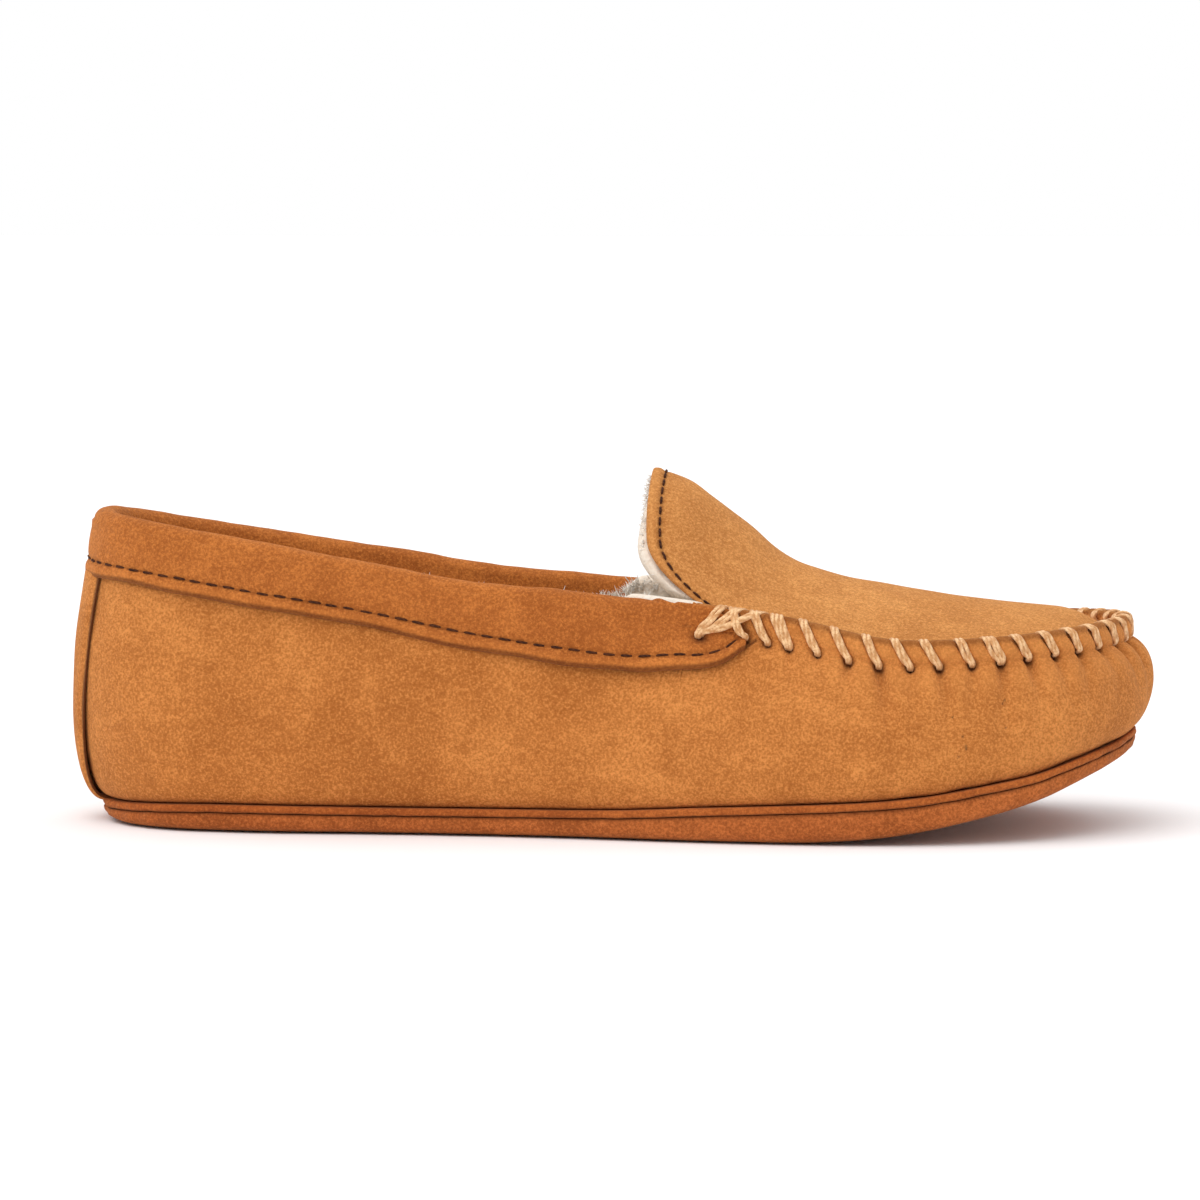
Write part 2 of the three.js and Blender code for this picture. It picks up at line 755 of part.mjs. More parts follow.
function tongueStitching() {
  const inwards = [0.12, 0.2, 0.3, 0.42, 0.58, 0.72, 0.86, 1];
  const [first, second] = plugStations();
  const edge = plugRung(first, inwards);
  const next = plugRung(second, inwards);
  const path = edge.map((p, k) => {
    const inward = next[k].clone().sub(p).normalize();
    const near = edge[Math.min(edge.length - 1, k + 1)].clone().sub(edge[Math.max(0, k - 1)]);
    const normal = inward.clone().cross(near.normalize()).normalize();
    const point = p.clone().addScaledVector(inward, tongueSeamInset);
    return point.addScaledVector(normal, fit + machineThread / 2 + 0.15);
  });
  return thread(path, path.map(() => new THREE.Vector3(1, 0, 0.1)), machineThread, machineThread, 4);
}

const materials = {
  suede: { color: 0xb9722f, roughness: 0.95 },
  suedePale: { color: 0xc07b3a, roughness: 0.95 },
  shearling: { color: 0xf0e6d6, roughness: 1 },
  waxedThread: { color: 0xc08a4a, roughness: 0.6 },
  darkThread: { color: 0x4a2a16, roughness: 0.7 },
  foam: { color: 0xd9cfc0, roughness: 0.9 },
  board: { color: 0xa8875c, roughness: 0.9 },
  cork: { color: 0x9c6f45, roughness: 0.95 },
};

function node(name, surface, look, shift) {
  const geometry = new THREE.BufferGeometry();
  const place = surface.points.flatMap((p) => [p.x - shift.x, p.y - shift.y, p.z - shift.z]);
  geometry.setAttribute('position', new THREE.Float32BufferAttribute(place, 3));
  geometry.setIndex(surface.faces.flat());
  geometry.computeVertexNormals();
  const mesh = new THREE.Mesh(geometry, new THREE.MeshStandardMaterial({ metalness: 0, ...look }));
  mesh.name = name;
  return mesh;
}

const rows = seamPath();
const runs = stitchRuns(rows[rows.length - 1].run);
const cutters = runs.map((run) => holeCutter(rows, run));
const pieces = [
  ['outsole', outsole(), materials.suede],
  ['midsole_foam', midsole(), materials.foam],
  ['welt', welt(), materials.suedePale],
  ['side_wall', pierced(sideWall(), cutters), materials.suede],
  ['bottom_filler', bottomFiller(), materials.cork],
  ['insole_board', insoleBoard(), materials.board],
  ['footbed', footbed(), materials.shearling],
  ['heel_counter', heelCounter(), materials.board],
  ['wall_lining', wallLining(), materials.shearling],
  ['heel_strip', heelStrip(), materials.suede],
  ['topline_foam', toplineFoam(), materials.foam],
  ['collar_band', collarBand(), materials.suede],
  ['plug', pierced(plug(), cutters), materials.suede],
  ['plug_lining', plugLining(), materials.shearling],
  ['apron_thread', apronThread(rows, runs), materials.waxedThread],
  ['collar_stitching', collarStitching(), materials.darkThread],
  ['tongue_stitching', tongueStitching(), materials.darkThread],
];

const bounds = new THREE.Box3();
for (const [, surface] of pieces) surface.points.forEach((p) => bounds.expandByPoint(p));
const shift = bounds.getCenter(new THREE.Vector3()).setZ(bounds.min.z);

const moccasin = new THREE.Group();
moccasin.name = 'moccasin';
for (const [name, surface, look] of pieces) moccasin.add(node(name, surface, look, shift));

export default moccasin;
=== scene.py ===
import math

import bmesh
import bpy
import numpy as np
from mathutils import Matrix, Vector


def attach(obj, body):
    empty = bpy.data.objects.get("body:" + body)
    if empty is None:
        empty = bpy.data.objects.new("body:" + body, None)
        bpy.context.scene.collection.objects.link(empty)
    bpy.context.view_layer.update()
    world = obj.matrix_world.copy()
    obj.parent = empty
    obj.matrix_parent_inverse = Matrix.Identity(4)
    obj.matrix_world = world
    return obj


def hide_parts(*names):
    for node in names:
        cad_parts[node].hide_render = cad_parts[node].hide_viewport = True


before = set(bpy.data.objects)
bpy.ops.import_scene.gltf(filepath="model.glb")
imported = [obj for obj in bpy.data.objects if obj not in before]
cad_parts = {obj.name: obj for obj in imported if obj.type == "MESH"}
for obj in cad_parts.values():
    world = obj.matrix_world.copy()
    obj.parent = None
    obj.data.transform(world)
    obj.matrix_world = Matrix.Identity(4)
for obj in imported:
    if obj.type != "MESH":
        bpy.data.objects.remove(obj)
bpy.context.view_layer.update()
rng = np.random.default_rng(41)
print("frame loaded:", len(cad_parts), "nodes")

# The last's pattern, in millimetres, as the frame was cut from it
pattern = {
    "shift": (-0.55057, -2.09673, 0.0),  # pattern zero, seen from the middle of the frame
    "wall": 1.5, "plug": 1.4, "collar": 1.3, "strip": 1.4, "counter": 1.2, "lining": 4.6,
    "plugLining": 4.4, "board": 1.4, "footbed": 5, "seamHeight": 5.2, "plugFlange": 4.3,
    "throat": 7.14, "toe": 13, "fit": 0.3,
}
inStack = pattern["wall"] + pattern["board"] + pattern["footbed"]  # from the sole up to the foot
farThroat = 26 - pattern["throat"]  # 26 stations go once round the shoe

# Outline where wall meets sole, from the heel by the outer side to the toe and back
feather = np.array([
    [-123, 0], [-118.5, -15], [-105, -26], [-83, -30.5], [-58, -31.5], [-32, -33.5], [-6, -37.5],
    [20, -43], [46, -46.5], [71, -47], [93, -42.5], [110, -33], [121.5, -18], [126, 1],
    [121.5, 19.5], [110, 33.5], [93, 40.5], [71, 42.5], [46, 39.5], [20, 34.5], [-6, 30.5],
    [-32, 28.5], [-58, 29], [-83, 28.5], [-105, 24], [-118.5, 14.5],
])
topline = np.array([
    [-125.5, 0, 76.3], [-120.5, -14.5, 75.6], [-106, -24, 73.6], [-84, -28.5, 70],
    [-59, -30, 65.8], [-33, -31, 61.2], [-7, -32.5, 58.6], [19, -34, 55.7], [44, -37.5, 52.3],
    [68, -39.5, 47.4], [91, -37.5, 47.6], [109.5, -29.5, 48.9], [121.5, -15.5, 49.8],
    [126.6, 1, 50.3], [121.5, 17.5, 49.8], [109.5, 29.5, 48.9], [91, 35.5, 47.8],
    [68, 36.5, 47.6], [44, 35, 52.3], [19, 32, 55.6], [-7, 30.5, 58.2], [-33, 29.5, 60.8],
    [-59, 29, 65], [-84, 27.5, 68.8], [-106, 22.5, 72.2], [-120.5, 13.5, 75],
])
fullShapes = {
    "heel": [10.8, -2.2, 7.5, 30], "corner": [8.5, 0.5, 6, 26], "back": [6.5, 3, 5, 24],
    "side": [5.5, 5, 4.5, 22], "waist": [5.5, 5, 5.5, 16], "fore": [6, 5, 7.5, 11],
    "ball": [6, 5, 8.5, 9], "tip": [6, 4, 8.2, 8], "toe": [6, 2.5, 8.2, 7],
}  # low out, low up, high out, high down
halfFull = "corner back side side side side waist fore ball ball tip toe".split()
fullness = np.array([fullShapes[k] for k in ["heel", *halfFull, "toe", *halfFull[::-1]]])
soleTopLine = np.array([
    [-124, 5], [-118.5, 5.3], [-107, 6], [-93, 6.4], [-50, 6.2], [-12, 6.5], [4, 6.9], [22, 8],
    [41, 8.9], [61, 9.9], [76, 11.2], [93, 14], [103, 15.9], [112, 18.6], [122, 21.6], [129, 23.8],
])
treadLine = np.array([
    [-126, 0.9], [-119, 0.1], [-112, 0], [0, 0], [45, 0], [63, 1], [76, 2.8], [89, 5.5],
    [98, 7.7], [106, 10.2], [112, 12.6], [122, 16.4], [129, 18.8],
])
collarDropLine = np.array([
    [-130, 15.3], [-90, 15.3], [-44, 15.3], [-8, 16.9], [7, 16.9], [17, 15.3], [24, 14.3],
    [29, 12.4], [33, 9], [36.5, 6],
])
collarTopLine = np.array([
    [-130, 3], [8, 3], [12, 1.5], [15, 0.7], [20, 0.5], [25, 0.7], [29, 2.3], [33, 4.7],
    [36.5, 5.7],
])
wallTopLine = np.array([[17, 9.3], [19, 5], [21, 0], [22, 0], [23, 0], [40, 0]])
crownLine = np.array([
    [6, 86.6], [11, 86.4], [14.7, 85.4], [20, 83.2], [25, 79.6], [30, 75.9], [35, 72.2],
    [40, 67.6], [45, 64.4], [50, 62.3], [59.4, 59.1], [69, 57.2], [79, 55.6], [89, 54.6],
    [98.5, 53.6], [108, 52.4],
])
spineLine = np.array([[7.14, 11], [8, 43], [9, 67], [10, 88], [11, 100], [12, 106], [13, 107]])
up = np.array([0.0, 0.0, 1.0])


# The last: curves and faces, for whole arrays of places at once
def mix(a, b, t):
    return a + (b - a) * t


def step(a, b, x):
    t = np.clip((x - a) / (b - a), 0, 1)
    return t * t * (3 - 2 * t)


def hump(x, width):  # 1 where x is 0, fading to nothing in about two widths
    return np.exp(-(x / width) ** 2)


def unit(v):
    return v / np.maximum(np.linalg.norm(v, axis=-1, keepdims=True), 1e-12)


def around(table, column, u):
    k = np.floor(u).astype(int)
    t, n, row = u - k, len(table), table[:, column]
    a, b, c, d = (row[(k + j) % n] for j in (-1, 0, 1, 2))
    return b + 0.5 * t * (c - a + t * (2 * a - 5 * b + 4 * c - d + t * (3 * (b - c) + d - a)))


def along(table, x):
    px, py = table[:, 0], table[:, 1]
    n = len(px)
    k = np.clip(np.searchsorted(px, x, side="right") - 1, 0, n - 2)
    slope = np.array([(py[min(n - 1, j + 1)] - py[max(0, j - 1)])
                      / (px[min(n - 1, j + 1)] - px[max(0, j - 1)]) for j in range(n)])
    span = px[k + 1] - px[k]
    t = np.clip((x - px[k]) / span, 0, 1)
    smooth = mix(py[k], py[k + 1], t * t * (3 - 2 * t))
    return smooth + span * (slope[k] * t * (1 - t) ** 2 - slope[k + 1] * t * t * (1 - t))


def planNormal(table, u, e=0.02):
    dx = around(table, 0, u + e) - around(table, 0, u - e)
    dy = around(table, 1, u + e) - around(table, 1, u - e)
    return unit(np.stack([dy, -dx, 0 * dx], -1))


def soleTop(x):
    return along(soleTopLine, x)


def tread(x):
    return np.maximum(0, along(treadLine, x))


def featherPoint(u, out):
    flat = np.stack([around(feather, 0, u), around(feather, 1, u), 0 * u], -1)
    return flat + planNormal(feather, u) * np.asarray(out)[..., None]


def toplinePoint(u):
    return np.stack([around(topline, k, u) for k in range(3)], -1)


def bezier(a, b, c, d, t):
    s = 1 - t
    return a * s ** 3 + b * 3 * s * s * t + c * 3 * s * t * t + d * t ** 3


def wallFace(u, level):  # -1 to 0 under the foot, 0 to 1 side, 1 to 2 raised seam
    u, level = np.broadcast_arrays(np.asarray(u, float), np.asarray(level, float))
    foot = featherPoint(u, 8 * np.minimum(0, level))
    foot[..., 2] = soleTop(foot[..., 0]) + pattern["fit"]
    n = planNormal(feather, u)
    full = [around(fullness, k, u)[..., None] for k in range(4)]
    base = toplinePoint(u) - up * pattern["seamHeight"]
    low, high = foot + n * full[0] + up * full[1], base + n * full[2] - up * full[3]
    side = bezier(foot, low, high, base, np.clip(level, 0, 1)[..., None])
    raised = base + up * (pattern["seamHeight"] * np.maximum(0, level - 1))[..., None]
    return np.where((level <= 0)[..., None], foot, np.where((level >= 1)[..., None], raised, side))


def levelAt(u, z):
    u, z = np.broadcast_arrays(np.asarray(u, float), np.asarray(z, float))
    base = toplinePoint(u)[..., 2] - pattern["seamHeight"]
    low, high = np.full(u.shape, 0.15), np.ones(u.shape)
    for _ in range(22):
        middle = (low + high) / 2
        below = wallFace(u, middle)[..., 2] < z
        low, high = np.where(below, middle, low), np.where(below, high, middle)
    return np.where(z >= base, 1 + (z - base) / pattern["seamHeight"], low)


def levelBelowTop(u, drop):
    return levelAt(u, toplinePoint(np.asarray(u, float))[..., 2] - drop)


def wallNormal(u, level, e=0.01):
    side = np.minimum(level, 2 - e)
    across = wallFace(u + e, level) - wallFace(u - e, level)
    upwards = wallFace(u, side + e) - wallFace(u, np.maximum(0.001, side - e))
    return unit(np.cross(across, upwards))


def wallOffset(u, level, out):
    return wallFace(u, level) + wallNormal(u, level) * np.asarray(out)[..., None]


def placeX(u):
    return around(topline, 0, u)


def collarDrop(u):
    return along(collarDropLine, placeX(u))


def wallDrop(u):
    x = placeX(u)
    return np.where(x < 17, collarDrop(u) - 6, along(wallTopLine, x))


def plugPoint(u, inward):  # -1 flange top, 0 flange foot, 1 spine
    u, inward = np.broadcast_arrays(np.asarray(u, float), np.asarray(inward, float))
    side = np.where(u < pattern["toe"], u, 26 - u)
    inset = pattern["wall"] + pattern["fit"] + pattern["plug"]
    edge = toplinePoint(u) - planNormal(topline, u) * inset
    base = edge - up * pattern["plugFlange"]
    spineX = along(spineLine, side)
    across = toplinePoint(26 - u) - planNormal(topline, 26 - u) * inset
    middle = (edge[..., 1] + across[..., 1]) / 2
    spine = np.stack([spineX, middle, along(crownLine, spineX)], -1)
    rear = (1 - step(pattern["throat"], 8.2, side))[..., None]
    flat = 0 * spineX
    low = mix(mix(base, spine, 1 / 3), np.stack([flat + 5, base[..., 1], flat], -1), rear)
    high = mix(base, spine, 2 / 3)
    high = mix(high, np.stack([spineX, base[..., 1] * 0.45, flat], -1), rear)
    t = np.clip(inward, 0, 1)
    face = bezier(base, low, high, spine, t[..., None])
    face[..., 0] += 8.2 * (1 - step(0.1, 0.5, t)) * step(0, 0.09, t) * rear[..., 0]
    bow = step(pattern["throat"], 9.4, side)
    c = -1.6 * (1 - bow) - 0.5 * bow
    rise = (2 + c) * t - (1 + 2 * c) * t * t + c * t ** 3
    face[..., 2] = mix(base[..., 2], spine[..., 2], rise)
    return np.where((inward < 0)[..., None], mix(base, edge, -np.minimum(0, inward)[..., None]), face)


# Making meshes: bmesh grids laid on arrays of places, welded and closed
def lengths(points, axis):
    gaps = np.linalg.norm(np.diff(points, axis=axis), axis=-1)
    gaps = gaps.mean(axis=1 - axis)
    return np.concatenate([[0], np.cumsum(gaps)])


def lay(name, sheets):
    # each sheet: places (n, m, 3) in pattern millimetres and a dictionary of point values
    bm = bmesh.new()
    bm.loops.layers.uv.new("lengths")
    for places, _ in sheets:
        n, m = places.shape[:2]
        bmesh.ops.create_grid(bm, x_segments=n - 1, y_segments=m - 1, size=1, calc_uvs=True)
    mesh = bpy.data.meshes.new(name)
    bm.to_mesh(mesh)
    bm.free()
    flat = np.empty(len(mesh.vertices) * 3)
    mesh.vertices.foreach_get("co", flat)
    flat = flat.reshape(-1, 3)
    names = sorted({key for _, values in sheets for key in values})
    marks = {key: np.zeros(len(flat)) for key in names}
    run = np.zeros((len(flat), 2))
    start = 0
    for places, values in sheets:
        n, m = places.shape[:2]
        stop = start + n * m
        i = np.rint((flat[start:stop, 0] + 1) / 2 * (n - 1)).astype(int)
        j = np.rint((flat[start:stop, 1] + 1) / 2 * (m - 1)).astype(int)
        for key, value in values.items():
            marks[key][start:stop] = np.broadcast_to(value, (n, m))[i, j]
        run[start:stop, 0] = lengths(places, 0)[i]
        run[start:stop, 1] = lengths(places, 1)[j]
        flat[start:stop] = places[i, j]
        start = stop
    flat = (flat - pattern["shift"]) / 1000
    mesh.vertices.foreach_set("co", flat.ravel())
    corner = np.empty(len(mesh.loops), int)
    mesh.loops.foreach_get("vertex_index", corner)
    mesh.uv_layers[0].data.foreach_set("uv", (run[corner] / 100).ravel())  # 1 is 100 mm
    for key in names:
        mesh.attributes.new(key, "FLOAT", "POINT").data.foreach_set("value", marks[key])
    bm = bmesh.new()
    bm.from_mesh(mesh)
    bmesh.ops.remove_doubles(bm, verts=bm.verts, dist=4e-6)
    bmesh.ops.dissolve_degenerate(bm, edges=bm.edges, dist=1e-7)
    bmesh.ops.recalc_face_normals(bm, faces=bm.faces)
    for face in bm.faces:
        face.smooth = True
    openEdges = sum(1 for edge in bm.edges if len(edge.link_faces) != 2)
    bm.to_mesh(mesh)
    bm.free()
    piece = bpy.data.objects.new(name, mesh)
    bpy.context.scene.collection.objects.link(piece)
    print(f"{name}: {len(mesh.polygons)} faces, {openEdges} open edges")
    return piece


def faceNormals(face, ring):
    if ring:
        across = np.roll(face, -1, 0) - np.roll(face, 1, 0)
    else:
        across = np.gradient(face, axis=0)
    return unit(np.cross(across, np.gradient(face, axis=1)))


def skin(face, outer, inner, ring=False, spine=False, normals=None, relief=0.0, back=0.0,
         marks=None, edge=5):
    # a sheet with rounded edges: offsets of its outer and inner faces, and relief added to each
    n = faceNormals(face, ring) if normals is None else normals
    middle = face + n * ((outer + inner) / 2)
    half = np.full(face.shape[0], (outer - inner) / 2)
    relief = np.broadcast_to(relief, face.shape[:2])
    back = np.broadcast_to(back, face.shape[:2])
    marks = {k: np.broadcast_to(v, face.shape[:2]) for k, v in (marks or {}).items()}
    lift, seat, value = [], [], {k: [] for k in marks}
    columns = range(face.shape[1])

    def row(j, spread, away):
        shift = (relief if spread > 0 else back)[:, j] * spread
        seat.append(middle[:, j] + away)
        lift.append(n[:, j] * (half * spread + shift)[:, None])
        for k in marks:
            value[k].append(marks[k][:, j])

    first, last = unit(middle[:, 0] - middle[:, 1]), unit(middle[:, -1] - middle[:, -2])
    angles = np.linspace(0, math.pi, edge + 2)[1:-1]
    if spine:  # open at the spine, where the other half meets it
        for j in reversed(columns):
            row(j, -1, 0)
        for a in angles[::-1]:
            row(0, math.cos(a), first * (half * math.sin(a))[:, None])
        for j in columns:
            row(j, 1, 0)
    else:
        for j in columns:
            row(j, 1, 0)
        for a in angles:
            row(-1, math.cos(a), last * (half * math.sin(a))[:, None])
        for j in reversed(columns):
            row(j, -1, 0)
        for a in angles[::-1]:
            row(0, math.cos(a), first * (half * math.sin(a))[:, None])
        row(0, 1, 0)
    seat, lift = np.stack(seat, 1), np.stack(lift, 1)
    value = {k: np.stack(v, 1) for k, v in value.items()}
    if ring:
        places = seat + lift
        places = np.concatenate([places, places[:1]])
        return places, {k: np.concatenate([v, v[:1]]) for k, v in value.items()}
    turns = np.linspace(0, math.pi / 2, edge // 2 + 2)[1:]
    ends = []
    for k, near in ((0, 1), (-1, -2)):
        away = unit(seat[k] - seat[near])
        ends.append([seat[k] + away * half[0] * math.sin(a) + lift[k] * math.cos(a) for a in turns])
    places = np.concatenate([np.stack(ends[0][::-1]), seat + lift, np.stack(ends[1])])
    pad = len(turns)
    return places, {k: np.concatenate([v[:1]] * pad + [v] + [v[-1:]] * pad) for k, v in value.items()}


def runOf(path):  # distance run along a path to each of its points
    return np.concatenate([[0], np.cumsum(np.linalg.norm(np.diff(path, axis=0), axis=1))])


def curve(points, count):  # smooth path through points
    points = np.asarray(points, float)
    place = np.linspace(0, len(points) - 1, count)
    k = np.clip(np.floor(place).astype(int), 0, len(points) - 2)
    t = (place - k)[:, None]
    last = len(points) - 1
    a, b, c, d = (points[np.clip(k + j, 0, last)] for j in (-1, 0, 1, 2))
    return b + 0.5 * t * (c - a + t * (2 * a - 5 * b + 4 * c - d + t * (3 * (b - c) + d - a)))


def strand(path, wide, width, thickness, sides=8, tip=0.35):
    # a tube of oval section, its ends closed to a point; wide gives its broad side
    tangent = unit(np.gradient(path, axis=0))
    across = unit(wide - tangent * (wide * tangent).sum(-1, keepdims=True))
    rise = np.cross(tangent, across)
    n = len(path)
    t = np.arange(n) / (n - 1)
    size = np.sqrt(np.clip(1 - np.maximum(0, np.abs(2 * t - 1) - (1 - tip)) ** 2 / tip ** 2, 0, 1))
    angle = np.linspace(0, 2 * math.pi, sides + 1)
    ring = (across[:, None] * np.cos(angle)[None, :, None] * width / 2
            + rise[:, None] * np.sin(angle)[None, :, None] * thickness / 2)
    return path[:, None] + ring * size[:, None, None]


def softness(places, size, depth, seed, waves=14):  # slow, even swells of the leather
    source = np.random.default_rng(seed)
    total = np.zeros(places.shape[:-1])
    for _ in range(waves):
        direction = unit(source.normal(size=3)) * 2 * math.pi / (size * source.uniform(0.7, 1.6))
        total += np.sin(places @ direction + source.uniform(0, 2 * math.pi))
    return depth * total / math.sqrt(waves / 2)


def dress(piece, material, slot, *nodes):
    piece.data.materials.append(material)
    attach(piece, "root")
    if nodes:
        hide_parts(*nodes)
    return piece


# Materials
def colour(text):
    parts = [int(text[k:k + 2], 16) / 255 for k in (1, 3, 5)]
    return (*[c / 12.92 if c <= 0.04045 else ((c + 0.055) / 1.055) ** 2.4 for c in parts], 1)


def add(tree, kind, inputs=(), **settings):
    node = tree.nodes.new(kind)
    for key, value in settings.items():
        setattr(node, key, value)
    for key, value in dict(inputs).items():
        value = colour(value) if isinstance(value, str) else value
        if isinstance(value, bpy.types.NodeSocket):
            tree.links.new(value, node.inputs[key])
        else:
            node.inputs[key].default_value = value
    return node


def blend(tree, amount, first, second):
    return add(tree, "ShaderNodeMix", {0: amount, 6: first, 7: second}, data_type="RGBA").outputs[2]


def fresh(name):
    material = bpy.data.materials.new(name)
    material.use_nodes = True
    tree = material.node_tree
    tree.nodes.clear()
    return material, tree, add(tree, "ShaderNodeTexCoord").outputs["Object"]


def finishWith(tree, surface, inputs):
    shader = add(tree, "ShaderNodeBsdfPrincipled", {"Base Color": surface, **inputs})
    add(tree, "ShaderNodeOutputMaterial", {"Surface": shader.outputs[0]})
    return shader


def stretch(tree, source, low, high, bottom=0.0, top=1.0):
    node = add(tree, "ShaderNodeMapRange",
               {"Value": source, "From Min": low, "From Max": high, "To Min": bottom, "To Max": top})
    return node.outputs[0]


def tint(tree, tone, other, source, low, high, most):  # more of the other colour from low to high
    return blend(tree, stretch(tree, source, low, high, 0, most), tone, other)


# Cow suede, brushed and snuffed: a short nap that lies in patches, light where it leans one way
def suede(name, base, shade, light, cutEdgeAndShade, napDepth=0.8, sheen=0.2):
    material, tree, at = fresh(name)
    napFine = add(tree, "ShaderNodeTexNoise", {"Vector": at, "Scale": 1500, "Detail": 6.0,
                                               "Roughness": 0.8}).outputs[0]  # tufts 0.6 mm
    brushed = add(tree, "ShaderNodeMapping", {"Vector": at, "Rotation": (0.3, 0.5, 0.2),
                                              "Scale": (0.45, 1.3, 1.0)}).outputs[0]
    napMiddle = add(tree, "ShaderNodeTexNoise", {"Vector": brushed, "Scale": 420, "Detail": 4.0,
                                                 "Roughness": 0.7}).outputs[0]  # strokes 2.4 mm
    patches = add(tree, "ShaderNodeTexNoise", {"Vector": at, "Scale": 60, "Detail": 5.0,
                                               "Roughness": 0.68, "Distortion": 0.6}).outputs[0]
    swells = add(tree, "ShaderNodeTexNoise", {"Vector": at, "Scale": 15, "Detail": 2.0}).outputs[0]
    tone = blend(tree, stretch(tree, swells, 0.36, 0.64, 0, 0.5), base, light)
    tone = tint(tree, tone, shade, patches, 0.60, 0.36, 0.5)
    tone = tint(tree, tone, light, patches, 0.54, 0.72, 0.45)
    tone = tint(tree, tone, shade, napMiddle, 0.58, 0.34, 0.32)
    tone = tint(tree, tone, shade, napFine, 0.54, 0.41, 0.62)
    tone = tint(tree, tone, light, napFine, 0.50, 0.61, 0.6)
    # the pale mark is painted highlight on puffs, swells and rolled edges, and on the welt an even
    # lighter tone
    paleToneAndHighlight = add(tree, "ShaderNodeAttribute", attribute_name="pale").outputs["Fac"]
    tone = tint(tree, tone, light, paleToneAndHighlight, 0, 1, 0.7)
    # the dark mark goes toward the cut-edge colour: the raw edges' own colour, and painted shade in
    # holes, grooves, creases and under the collar
    deep = add(tree, "ShaderNodeAttribute", attribute_name="dark").outputs["Fac"]
    tone = blend(tree, deep, tone, cutEdgeAndShade)
    bumpCoarse = add(tree, "ShaderNodeBump", {"Strength": napDepth, "Distance": 0.0006,
                                              "Height": napMiddle})
    bump = add(tree, "ShaderNodeBump", {"Strength": napDepth, "Distance": 0.0004,
                                        "Height": napFine, "Normal": bumpCoarse.outputs[0]})
    finishWith(tree, tone, {
        "Roughness": 0.93, "Specular IOR Level": 0.18, "Sheen Weight": sheen,
        "Sheen Roughness": 0.55, "Sheen Tint": "#f3c48c", "Normal": bump.outputs[0]})
    return material


# Sheepskin pile, clipped to about 5 mm: cream wool in curls, darker and warmer where the curls sink:
# the roots' own colour and painted shade in the hollows
def shearlingPile(name, rootTintAndHollowShade=0.45, light="#f3e8da", shade="#efe0cd"):
    material, tree, at = fresh(name)
    curls = add(tree, "ShaderNodeTexNoise", {"Vector": at, "Scale": 520, "Detail": 4.0,
                                             "Roughness": 0.6, "Distortion": 1.4}).outputs[0]
    locks = add(tree, "ShaderNodeTexVoronoi", {"Vector": at, "Scale": 300}, feature="SMOOTH_F1")
    clouds = add(tree, "ShaderNodeTexNoise", {"Vector": at, "Scale": 60, "Detail": 3.0}).outputs[0]
    tone = blend(tree, stretch(tree, clouds, 0.35, 0.65), light, shade)
    # darker where the curl bump is low: the roots' warmer colour and painted shade in the hollows
    tone = tint(tree, tone, "#d3b897", curls, 0.52, 0.30, rootTintAndHollowShade)
    coarse = add(tree, "ShaderNodeBump", {"Strength": 0.5, "Distance": 0.0012,
                                          "Height": locks.outputs["Distance"]})
    bump = add(tree, "ShaderNodeBump", {"Strength": 0.6, "Distance": 0.0008, "Height": curls,
                                        "Normal": coarse.outputs[0]})
    finishWith(tree, tone, {"Roughness": 1.0, "Specular IOR Level": 0.1, "Sheen Weight": 0.5,
                            "Sheen Roughness": 0.6, "Sheen Tint": "#fff6ea",
                            "Normal": bump.outputs[0]})
    return material


# Waxed linen thread, two plies laid to the right: a dull shine and a turn of ply every 1.6 mm
def waxedLinen(name):
    material, tree, at = fresh(name)
    lengthwise = add(tree, "ShaderNodeUVMap", uv_map="lengths").outputs[0]
    turned = add(tree, "ShaderNodeMapping", {"Vector": lengthwise, "Scale": (1, 1, 1),
                                             "Rotation": (0, 0, 1.05)}).outputs[0]
    ply = add(tree, "ShaderNodeTexWave", {"Vector": turned, "Scale": 19, "Distortion": 1.2,
                                          "Detail": 2.0, "Detail Scale": 2.0},
              wave_type="BANDS", bands_direction="X").outputs["Fac"]
    fuzz = add(tree, "ShaderNodeTexNoise", {"Vector": at, "Scale": 1800, "Detail": 3.0}).outputs[0]
    tone = blend(tree, stretch(tree, ply, 0.0, 0.9), "#cf955c", "#f3c793")
    tone = tint(tree, tone, "#b37a46", fuzz, 0.55, 0.35, 0.5)
    tone = tint(tree, tone, "#f3cfa2", fuzz, 0.55, 0.7, 0.4)
    # the dark mark is painted shade where the thread goes into the holes
    deep = add(tree, "ShaderNodeAttribute", attribute_name="dark").outputs["Fac"]
    tone = blend(tree, deep, tone, "#5c3014")
    bump = add(tree, "ShaderNodeBump", {"Strength": 0.5, "Distance": 0.0002, "Height": ply})
    fine = add(tree, "ShaderNodeBump", {"Strength": 0.3, "Distance": 0.0002, "Height": fuzz,
                                        "Normal": bump.outputs[0]})
    finishWith(tree, tone, {"Roughness": 0.58, "Specular IOR Level": 0.4, "Sheen Weight": 0.1,
                            "Normal": fine.outputs[0]})
    return material


# Bonded polyester machine thread: dark, a little glossy, twisted finer than a millimetre
def bondedPolyester(name):
    material, tree, at = fresh(name)
    twist = add(tree, "ShaderNodeTexWave", {"Vector": at, "Scale": 500, "Distortion": 1.0},
                bands_direction="DIAGONAL").outputs["Fac"]
    fuzz = add(tree, "ShaderNodeTexNoise", {"Vector": at, "Scale": 300, "Detail": 2.0}).outputs[0]
    tone = blend(tree, twist, "#2c1207", "#4d2712")
    tone = tint(tree, tone, "#6b3a1c", fuzz, 0.4, 0.7, 0.25)
    bump = add(tree, "ShaderNodeBump", {"Strength": 0.4, "Distance": 0.0002, "Height": twist})
    finishWith(tree, tone, {"Roughness": 0.75, "Specular IOR Level": 0.2, "Normal": bump.outputs[0]})
    return material


